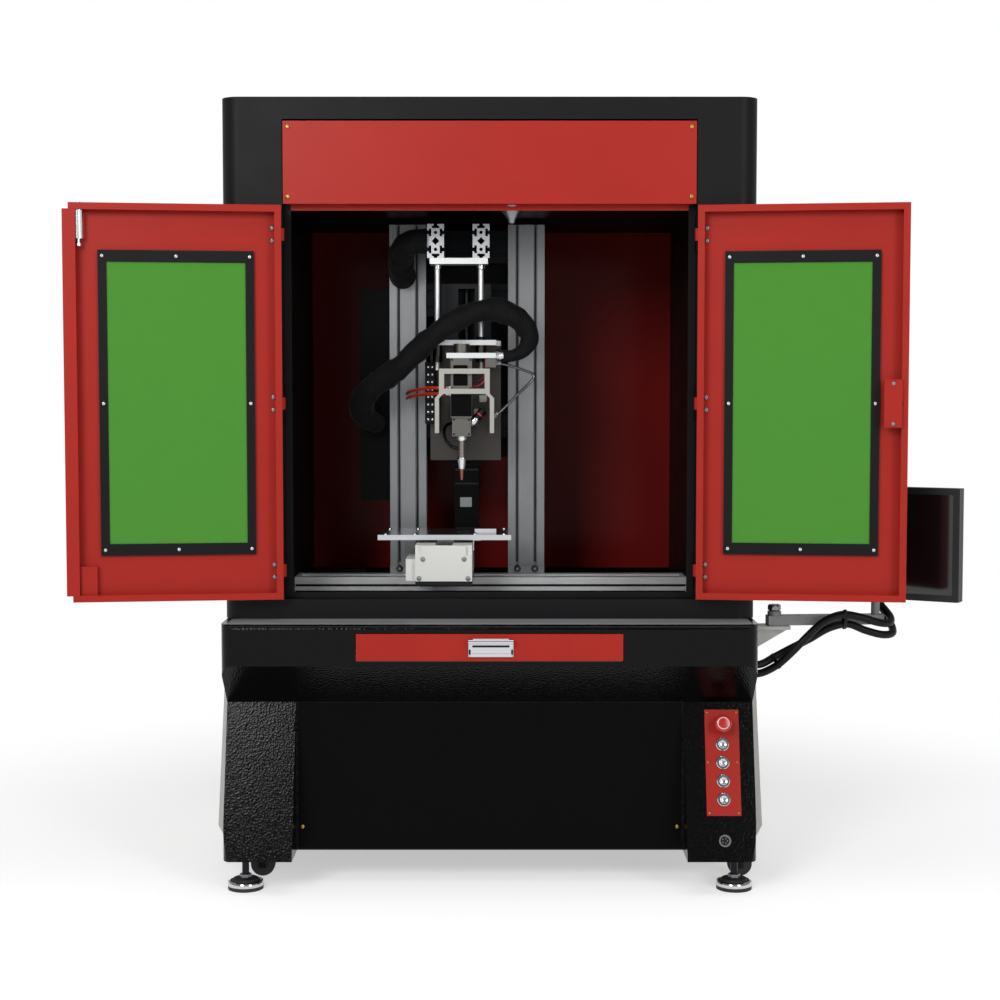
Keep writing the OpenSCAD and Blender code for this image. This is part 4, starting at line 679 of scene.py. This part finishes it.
# Screws of the control panel, by their places across and down the leg's face.
LEG_OUT = facing(on_leg)
PANEL_THICK = 4.0
screws("control_panel_screws", [on_leg(np.array([x, PANEL_THICK, s])) for x in (-33, 33) for s in (24, 136, 249)],
       LEG_OUT, 2.6, yellow_zinc, "machine")

# Screws of the doors, placed on the closed left door.
DOOR_Z = 1096.5
HINGE_LEAF_X, HINGE_LEAF_Y, HINGE_ZS = -442, 2, (721, DOOR_Z, 1472)
FRAME_X, FRAME_Y, FRAME_STEP_X, FRAME_STEP_Z = -231, 12, 160.5, 324
LOCK_X, LOCK_Y = -34.5, 40.0
hinge_feet = [(HINGE_LEAF_X, HINGE_LEAF_Y, z + k) for z in HINGE_ZS for k in (-14, 14)]
frame_feet = [(FRAME_X + i * FRAME_STEP_X, FRAME_Y, DOOR_Z + k * FRAME_STEP_Z)
              for i in (-1, 0, 1) for k in (-1, 0, 1) if i or k]
for body, turn in (("left_door", left_door), ("right_door", right_door)):
    screws(body + "_hinge_screws", turn(hinge_feet), facing(turn), 5.5, zinc_steel, body)
    screws(body + "_frame_screws", turn(frame_feet), facing(turn), 4.2, turned_steel, body)
screws("lock_cover_screws", right_door([(LOCK_X, LOCK_Y, DOOR_Z + k) for k in (-44, 44)]), facing(right_door), 4.5,
       zinc_steel, "right_door")

# Work cell: small fittings of the frame.
COLUMN_X, COLUMN_TOP = (-205, 88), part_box("columns")[1][2] * PER_M
BRACKET_Y, BRACKET_BOLT_Z, BRACKET_TOP = 410, 684, 700
ROD_X, ROD_Y, HANGER_Z, PLATE_Z = (-127, -23), 280, 1426, 1246
CEILING = (50, 60, 1548)
CONE = [(36, 0), (36, 4), (34, 5.5), (32, 6), (9, 37), (8.4, 41), (6, 45), (2, 46.5)]
COLLAR = [(6.2, -11), (9.2, -11), (10, -10), (10, -1), (9.2, 0), (6.2, 0)]
SEAL = [(6.4, 0), (12.5, 0), (12.5, 5), (11, 8), (6.4, 8)]
piece("ceiling_cone", turned(CEILING, DOWN, CONE, 40), zinc_steel, "machine")
piece("motor_plate", block((-75, 359.2, 841), (-46, 360.2, 865), 1.5, 0.3), label_foil, "machine")
piece("motor_seams", [block((-89.2, 359.2, z), (-27.8, 420.8, z + 5), 4.0, 0.6, 3.0, Z) for z in (786, 896, 930)],
      black_abs, "machine")
# A black sheet behind the cross members, as painted shade where the red back wall would show between them.
piece("shade_backing_plate", block((-159.5, 470.2, 960), (42.5, 473, 1438), 3.0, 0.6), black_lacquer, "machine")
screws("bracket_screws", [(x + k, BRACKET_Y, BRACKET_BOLT_Z) for x in COLUMN_X for k in (-21.6, 21.6)], FRONT, 8.5,
       black_screw, "machine")
# Black strips in the slots of the cross module and the columns, as painted shade that darkens the grooves.
piece("groove_shade_strips", [block((-473, 300.6, z - 2.7), (473, 303, z + 2.7), 1.0, 0.4, face=Y)
                        for z in (638.64, 654.24)], black_abs, "machine")
piece("column_slot_shade_strips", [block((x + k - 1.8, 424.6, BRACKET_TOP), (x + k + 1.8, 426, COLUMN_TOP - 2), 0.8, 0.3, face=Y)
                        for x in COLUMN_X for k in (-22.5, 22.5)], black_abs, "machine")
piece("rod_collars", [turned((x, ROD_Y, HANGER_Z), UP, COLLAR, 30, hollow=True) for x in ROD_X], turned_steel,
      "machine")
piece("bush_seals", [turned((x, ROD_Y, PLATE_Z), UP, SEAL, 30, hollow=True) for x in ROD_X], black_abs,
      "welding_head")

# Welding head: windows and a black plate on its front, and their screws; the plate is painted shade below the frame's
# lower bar.
HEAD_Y, HEAD_LOW_Y = 195, 203
windows = [block((-87, 193.6, z), (-53, 195.2, z + h), 3.0, 0.4) for z, h in ((1137, 28), (1168.5, 17))]
# A black plate on the head's front between the frame's lower bar and the block, as painted shade.
cover = block((-92.4, 193.4, 1065), (-43.6, 195.2, 1117), 2.0, 0.4)
piece("head_windows_and_shade_plate", windows + [cover], black_lacquer, "welding_head")
screws("head_screws", [(x, HEAD_Y, z) for x in (-89.5, -46.5) for z in (1131, 1198)]
       + [(x, HEAD_LOW_Y, z) for x in (-85.5, -50.5) for z in (1023, 1057)], FRONT, 2.4, black_screw,
       "welding_head")

# The bent pipe with a hexagon fitting at each end, and the short risers behind the head's frame.
PIPE = [(13, 213, 1191), (38, 213, 1186), (60, 214, 1180), (84, 214, 1172), (98, 214, 1166), (103, 213.5, 1160),
        (100, 212, 1152), (90, 209, 1141), (60, 203, 1112), (36, 197, 1088), (22, 193, 1075), (9, 191, 1066)]
PIPE_R = 3.2
UPPER_FITTING = [(6.2, -1), (6.2, 6), (5.0, 7), (5.0, 12), (4.0, 13)]
LOWER_FITTING = [(6.2, -3), (6.2, 5), (5.0, 6), (5.0, 11), (4.0, 12)]
piece("bent_pipe", along(curve(PIPE, 8), PIPE_R, 14)[0], pipe_steel, "welding_head")
piece("pipe_fittings", [turned(PIPE[0], np.subtract(PIPE[1], PIPE[0]), UPPER_FITTING, 24, NUT),
                        turned(PIPE[-1], np.subtract(PIPE[-2], PIPE[-1]), LOWER_FITTING, 24, NUT)],
      zinc_steel, "welding_head")
RISER = [(-43, 0), (-39, 0), (-35, 0), (-25.8, 1.8), (-18, 7), (-12.8, 14.8), (-11, 24), (-11, 34), (-11, 44)]
SHELF_Z = 1202
for name, y, z in (("front", 212, 1136), ("back", 238, 1150)):
    riser = [(x, y, z + rise) for x, rise in RISER] + [(RISER[-1][0], y, SHELF_Z)]
    cord("head_riser_" + name, riser, RISER_R, shaded_red_hose, None, ("welding_head",))

# Terminal block beside the carriage: a rail with eight steps and two screws on each.
TERMINAL_ZS, TERMINAL_H, TERMINAL_Y = range(1049, 1180, 18), 15, 298
steps = [block((-156, TERMINAL_Y, z), (-134, 305, z + TERMINAL_H), 1.5, 0.8, face=Y) for z in TERMINAL_ZS]
piece("terminal_block", [block((-158, 304, 1045), (-132, 330, 1195), 2.5, 1.2, face=Y)] + steps, black_abs,
      "welding_head")
screws("terminal_screws", [(x, TERMINAL_Y, z + TERMINAL_H / 2) for x in (-150, -140) for z in TERMINAL_ZS], FRONT, 3.0,
       chrome, "welding_head")

# Gas pipe: a ribbed tube, its radius with a wave along it.
GAS = [(-90, 220, 1048), (-97, 218, 1047), (-103, 216, 1044), (-108, 214, 1036), (-109, 212, 1028), (-108, 212, 1018),
       (-104, 212, 1008), (-98, 214, 1000), (-92, 216, 994), (-84, 219, 990), (-77, 222, 988)]
gas = curve(GAS, 12)
GAS_R, GAS_RIB, RIB_POINTS = 3.6, 0.6, 3.0
ribs = GAS_R + GAS_RIB * np.sin(np.arange(len(gas)) * 2 * np.pi / RIB_POINTS)
piece("gas_pipe", along(gas, ribs, 18)[0], black_screw, "welding_head")

# Side lamp: its body, chrome collar and red ring on one leaning axis.
LAMP_FOOT, LAMP_LEAN = (-46, 219, 1044), math.radians(40)
LAMP_AXIS = (math.sin(LAMP_LEAN), 0, math.cos(LAMP_LEAN))
LAMP_BODY = [(9.4, 21), (10, 22), (10, 25), (9.6, 26), (9.6, 28), (10, 29), (10, 43), (8.8, 46), (4, 47)]
LAMP_COLLAR = [(9.1, 5), (10.6, 5), (11, 6), (11, 20), (10.6, 21), (9.1, 21)]
LAMP_RING = [(9.4, 31), (10.3, 31), (10.5, 31.6), (10.5, 33.4), (10.3, 34), (9.4, 34)]
piece("lamp_body", turned(LAMP_FOOT, LAMP_AXIS, LAMP_BODY, 30), black_abs, "welding_head")
piece("lamp_collar", turned(LAMP_FOOT, LAMP_AXIS, LAMP_COLLAR, 30, hollow=True), chrome, "welding_head")
piece("lamp_ring", turned(LAMP_FOOT, LAMP_AXIS, LAMP_RING, 30, hollow=True), red_nylon, "welding_head")
piece("carriage_blocks", [block((-27, 314, 1098), (-9, 330.2, 1115), 2.0, 0.8, face=Y),
                          block((-40, 314, 1066), (-17, 330.2, 1082), 2.0, 0.8, face=Y)],
      white_nylon, "welding_head")
NOZZLE_FOOT = (-68, 225, 963)
NOZZLE_RING = [(8, 0), (11.5, 0), (11.5, 4), (8, 4)]
piece("nozzle_ring", turned(NOZZLE_FOOT, UP, NOZZLE_RING, 32, hollow=True), turned_steel, "welding_head")

# Table: screws and the flag that its limit switch reads.
TABLE_Z = 791
screws("table_screws", [(x, y, TABLE_Z) for x in (-244, -176, -36, 32) for y in (136, 304)], UP, 5.0, turned_steel,
       "work_table")
piece("table_flag", [block((-40.4, 140, 751), (-37.4, 180, 779.2), 2.0, 0.4),
                     block((-40.4, 140, 776), (-22, 180, 779.2), 2.0, 0.4)], milled, "work_table")

# Control panel: stop cap, button caps, rings and socket, by their distance down the leg's face.
STOP_S, SOCKET_S = 52, 310
BUTTON_S = [96 + 41 * i for i in range(4)]
STOP_OUT, BUTTON_OUT, BEZEL_OUT, SOCKET_OUT = 34, 10, 7, 2.2
STOP_DOME = [(19.5, -0.5), (19.2, 1.2), (17.6, 3.0), (13.6, 4.6), (8.5, 5.5), (3, 5.8)]
STOP_RING = [(11.6, 4.8), (13.6, 4.3), (13.6, 4.9), (11.6, 5.4)]
BUTTON_CAP = [(9.4, -0.5), (9.4, 0.5), (8.6, 1.2), (7.6, 1.2), (6.8, 0.6), (2.5, 0.3)]
BUTTON_RING = [(10.9, -0.5), (14.8, -0.5), (14.8, 0.3), (13.6, 1.5), (11.9, 1.5), (10.9, 0.5)]
SOCKET = [(9.8, -0.4), (9.8, 0.2), (9.0, 0.6), (3.0, 0.6)]


def face_at(out, s):
    """A place on the middle line of the right leg's face, a distance out of it and down it."""
    return on_leg(np.array([0.0, out, s]))


stop = face_at(STOP_OUT, STOP_S)
piece("stop_dome", turned(stop, LEG_OUT, STOP_DOME, 36), red_nylon, "emergency_stop")
piece("stop_ring", turned(stop, LEG_OUT, STOP_RING, 36, hollow=True), white_nylon, "emergency_stop")
for i, s in zip(FOUR, BUTTON_S):
    piece("button_cap_%d" % i, turned(face_at(BUTTON_OUT, s), LEG_OUT, BUTTON_CAP, 30), ground_steel, "button_%d" % i)
piece("button_rings", [turned(face_at(BEZEL_OUT, s), LEG_OUT, BUTTON_RING, 36, hollow=True) for s in BUTTON_S], chrome,
      "machine")
piece("socket_insert", turned(face_at(SOCKET_OUT, SOCKET_S), LEG_OUT, SOCKET, 30), black_abs, "machine")

# Drawer: a chrome rim round the pull's cup, black strips as painted shadow under its lip and at its ends, and a seal
# under the front.
piece("pull_rim", block((-46.5, -114.5, 540), (52.5, -110.2, 580), 6.0, 1.4, 6.0, Y), chrome, "drawer")
end_shadows = [block((x, -115.2, 545), (x + 4.4, -113.8, 557), 1.8, 0.4, face=Y) for x in (-45.8, 47.4)]
piece("pull_shadow_strips", [block((-38, -111.6, 561), (44, -110.2, 565.5), 1.5, 0.4, face=Y)] + end_shadows, black_abs, "drawer")
piece("drawer_seal", block((-292, -107.4, 528.8), (292, -104, 530.2), 0.6, 0.3, face=Z), rubber, "drawer")

# Ledge: a thin grey sheet on its top, lightened as a painted reflection.
piece("ledge_sheet_painted_reflection", block((-582, -93, 609.6), (582, -2, 610.8), 10.0, 0.4), ledge_sheet_painted_reflection, "machine")

# Feet: pressed rims on the pads and nuts on the stems.
FEET = [(x, y) for x in (-553, 553) for y in (-25, 805)]
RIM_Z, STEM_NUT_Z = 8.5, 25
RIM = [(36, 0), (40.4, 0), (41, 1), (41, 7), (39, 10), (35, 11), (34, 10)]
STEM_NUT = [(13, 0), (14, 1), (14, 8), (13, 9), (8.1, 9), (8.1, 0)]
piece("foot_rims", [turned((x, y, RIM_Z), UP, RIM, 40, hollow=True) for x, y in FEET], chrome, "machine")
piece("stem_nuts", [turned((x, y, STEM_NUT_Z), UP, STEM_NUT, 24, (0, 1, 2, 3), True) for x, y in FEET], zinc_steel,
      "machine")

# Monitor and its arm.
POST, MONITOR_TURN = (907.08, 171.09), -30.0
KNOB_Z = 609.5
KNOB = [(12, 0), (12, 2), (15.5, 4), (15.5, 13), (13, 16), (5, 16.6)]


def on_post(points):
    """From the monitor's own axes at its post to the machine: a shift and a turn of thirty degrees."""
    return turn_z(np.asarray(points, float) + [POST[0], POST[1], 0.0], MONITOR_TURN, POST)


piece("arm_knob", turned((*ARM_PIVOT, KNOB_Z), UP, KNOB, 36, hexes=(2, 3)), zinc_steel, "monitor_arm")
glass = block((-200.6, -67.3, 660.4), (200.6, -65.8, 889.6), 2.0, 0.3)
bezel = block((-215.4, -69.2, 645.6), (215.4, -67.8, 904.4), 5.0, 0.5, 14.6, Y)
back = [block((-150, -35, 690), (150, -22, 868), 16.0, 6.0, face=Y)]
back += [block((-120 + 14 * i, -22.4, 838), (-114 + 14 * i, -21.2, 858), 2.5, 0.5, face=Y) for i in range(18)]
piece("screen", moved(glass, on_post), screen_glass, "monitor")
piece("screen_bezel", moved(bezel, on_post), grey_abs, "monitor")
piece("screen_back", [moved(shape, on_post) for shape in back], grey_abs, "monitor")

# Back: quarter-turn locks of the hatch, each a disc with a bar for the fingers.
BACK_Y = 860
LOCKS = [(x, z) for x in (-455, 455) for z in (720, 1194, 1668)]
LOCK = [(13, -0.5), (13, 2.2), (12, 3.2), (9, 3.2), (8.4, 2.4), (2, 2.4)]
bars = [block((x - 6.5, BACK_Y + 1, z - 1.2), (x + 6.5, BACK_Y + 2.9, z + 1.2), 1.0, 0.3, face=Y) for x, z in LOCKS]
piece("hatch_locks", [turned((x, BACK_Y, z), BACK, LOCK, 32) for x, z in LOCKS] + bars, zinc_steel, "machine")

# Screws of the side covers, on faces that flare out towards the floor.
COVER_X, COVER_FLARE, COVER_TOP, COVER_FOOT, COVER_SINK = 620, 21, 500, 103, 0.4
COVER_SCREW = [(5.5, -0.4), (5.5, 1.4), (4, 2.6), (2.4, 2.8), (2.2, 1.2)]


def cover_face(z):
    """A side cover's outer face at a height, from the machine's middle, less the screw's seat."""
    return COVER_X + COVER_FLARE * (COVER_TOP - z) / (COVER_TOP - COVER_FOOT) - COVER_SINK


piece("cover_screws", [turned((side * cover_face(z), y, z), (side, 0, 0.05), COVER_SCREW, 24, (3, 4))
                       for side in (-1, 1) for y in (170, 462, 755) for z in (120, 484)],
      turned_steel, "machine")

# The studio.
WHITE, PAPER = (1.0, 1.0, 1.0, 1.0), (0.8, 0.8, 0.8, 1.0)
FLOOR_HALF = 30
FADE_FROM, FADE_TO = 0.9, 2.2


def seen_by(tree):
    """The camera ray, and the greatest of the camera, glossy and transmission rays: those that see the backdrop."""
    path = add(tree, "ShaderNodeLightPath").outputs
    two = add(tree, "ShaderNodeMath", {"operation": "MAXIMUM"}, i0=path["Is Camera Ray"], i1=path["Is Glossy Ray"])
    three = add(tree, "ShaderNodeMath", {"operation": "MAXIMUM"}, i0=two.outputs[0], i1=path["Is Transmission Ray"])
    return path["Is Camera Ray"], three.outputs[0]


# A floor that keeps the soft shadow near the machine and shows white to the camera, glossy and clear surfaces.
floor_mesh = bpy.data.meshes.new("floor")
corners = [(x * FLOOR_HALF, y * FLOOR_HALF, 0) for x, y in ((-1, -1), (1, -1), (1, 1), (-1, 1))]
floor_mesh.from_pydata(corners, [], [(0, 1, 2, 3)])
floor = bpy.data.objects.new("floor", floor_mesh)
bpy.context.scene.collection.objects.link(floor)
paper = bpy.data.materials.new("white_paper")
paper.use_nodes = True
t = paper.node_tree
t.nodes.clear()
seen = seen_by(t)[1]
matt = add(t, "ShaderNodeBsdfDiffuse", None, Color=PAPER)
lift = add(t, "ShaderNodeEmission", None, Color=WHITE, Strength=0.5)
white = add(t, "ShaderNodeEmission", None, Color=WHITE, Strength=1.0)
near = add(t, "ShaderNodeAddShader", None, i0=matt.outputs[0], i1=lift.outputs[0])
away = add(t, "ShaderNodeVectorMath", {"operation": "LENGTH"}, i0=add(t, "ShaderNodeTexCoord").outputs["Object"])
fade = add(t, "ShaderNodeMapRange", {"interpolation_type": "SMOOTHSTEP"}, Value=away.outputs["Value"],
           From_Min=FADE_FROM, From_Max=FADE_TO)
shown = add(t, "ShaderNodeMixShader", None, i0=fade.outputs[0], i1=near.outputs[0], i2=white.outputs[0])
look = add(t, "ShaderNodeMixShader", None, i0=seen, i1=matt.outputs[0], i2=shown.outputs[0])
add(t, "ShaderNodeOutputMaterial", None, Surface=look.outputs[0])
floor_mesh.materials.append(paper)

# A mirror sees white low down and a dimmer studio ceiling; the camera sees white all round.
world = bpy.data.worlds.new("studio")
bpy.context.scene.world = world
world.use_nodes = True
t = world.node_tree
t.nodes.clear()
by_camera, seen = seen_by(t)
height = add(t, "ShaderNodeSeparateXYZ", None, Vector=add(t, "ShaderNodeTexCoord").outputs["Generated"])
ceiling = add(t, "ShaderNodeMapRange", None, Value=height.outputs["Z"], From_Min=0.05, From_Max=0.3, To_Min=1.0,
              To_Max=0.25)
shown = add(t, "ShaderNodeMath", {"operation": "MAXIMUM"}, i0=ceiling.outputs[0], i1=by_camera)
strength = add(t, "ShaderNodeMapRange", None, Value=seen, To_Min=0.27, To_Max=shown.outputs[0])
sky = add(t, "ShaderNodeBackground", None, Color=WHITE, Strength=strength.outputs[0])
add(t, "ShaderNodeOutputWorld", None, Surface=sky.outputs[0])


def lamp(name, place, aim, size, watts):
    """A soft area light at a place, turned to face a point."""
    data = bpy.data.lights.new(name, "AREA")
    data.shape = "RECTANGLE"
    data.size, data.size_y = size
    data.energy = watts
    obj = bpy.data.objects.new(name, data)
    obj.location = place
    obj.rotation_euler = (Vector(aim) - Vector(place)).to_track_quat("-Z", "Y").to_euler()
    bpy.context.scene.collection.objects.link(obj)


lamp("key", (-1.9, -4.6, 2.9), (0.0, 0.0, 0.9), (1.6, 1.6), 95)
lamp("fill", (2.4, -4.2, 2.2), (0.0, 0.0, 0.9), (1.2, 2.4), 50)
lamp("top", (0.0, -1.0, 4.2), (0.0, 0.0, 0.0), (3.0, 3.0), 40)

bpy.context.scene.view_settings.view_transform = "Standard"
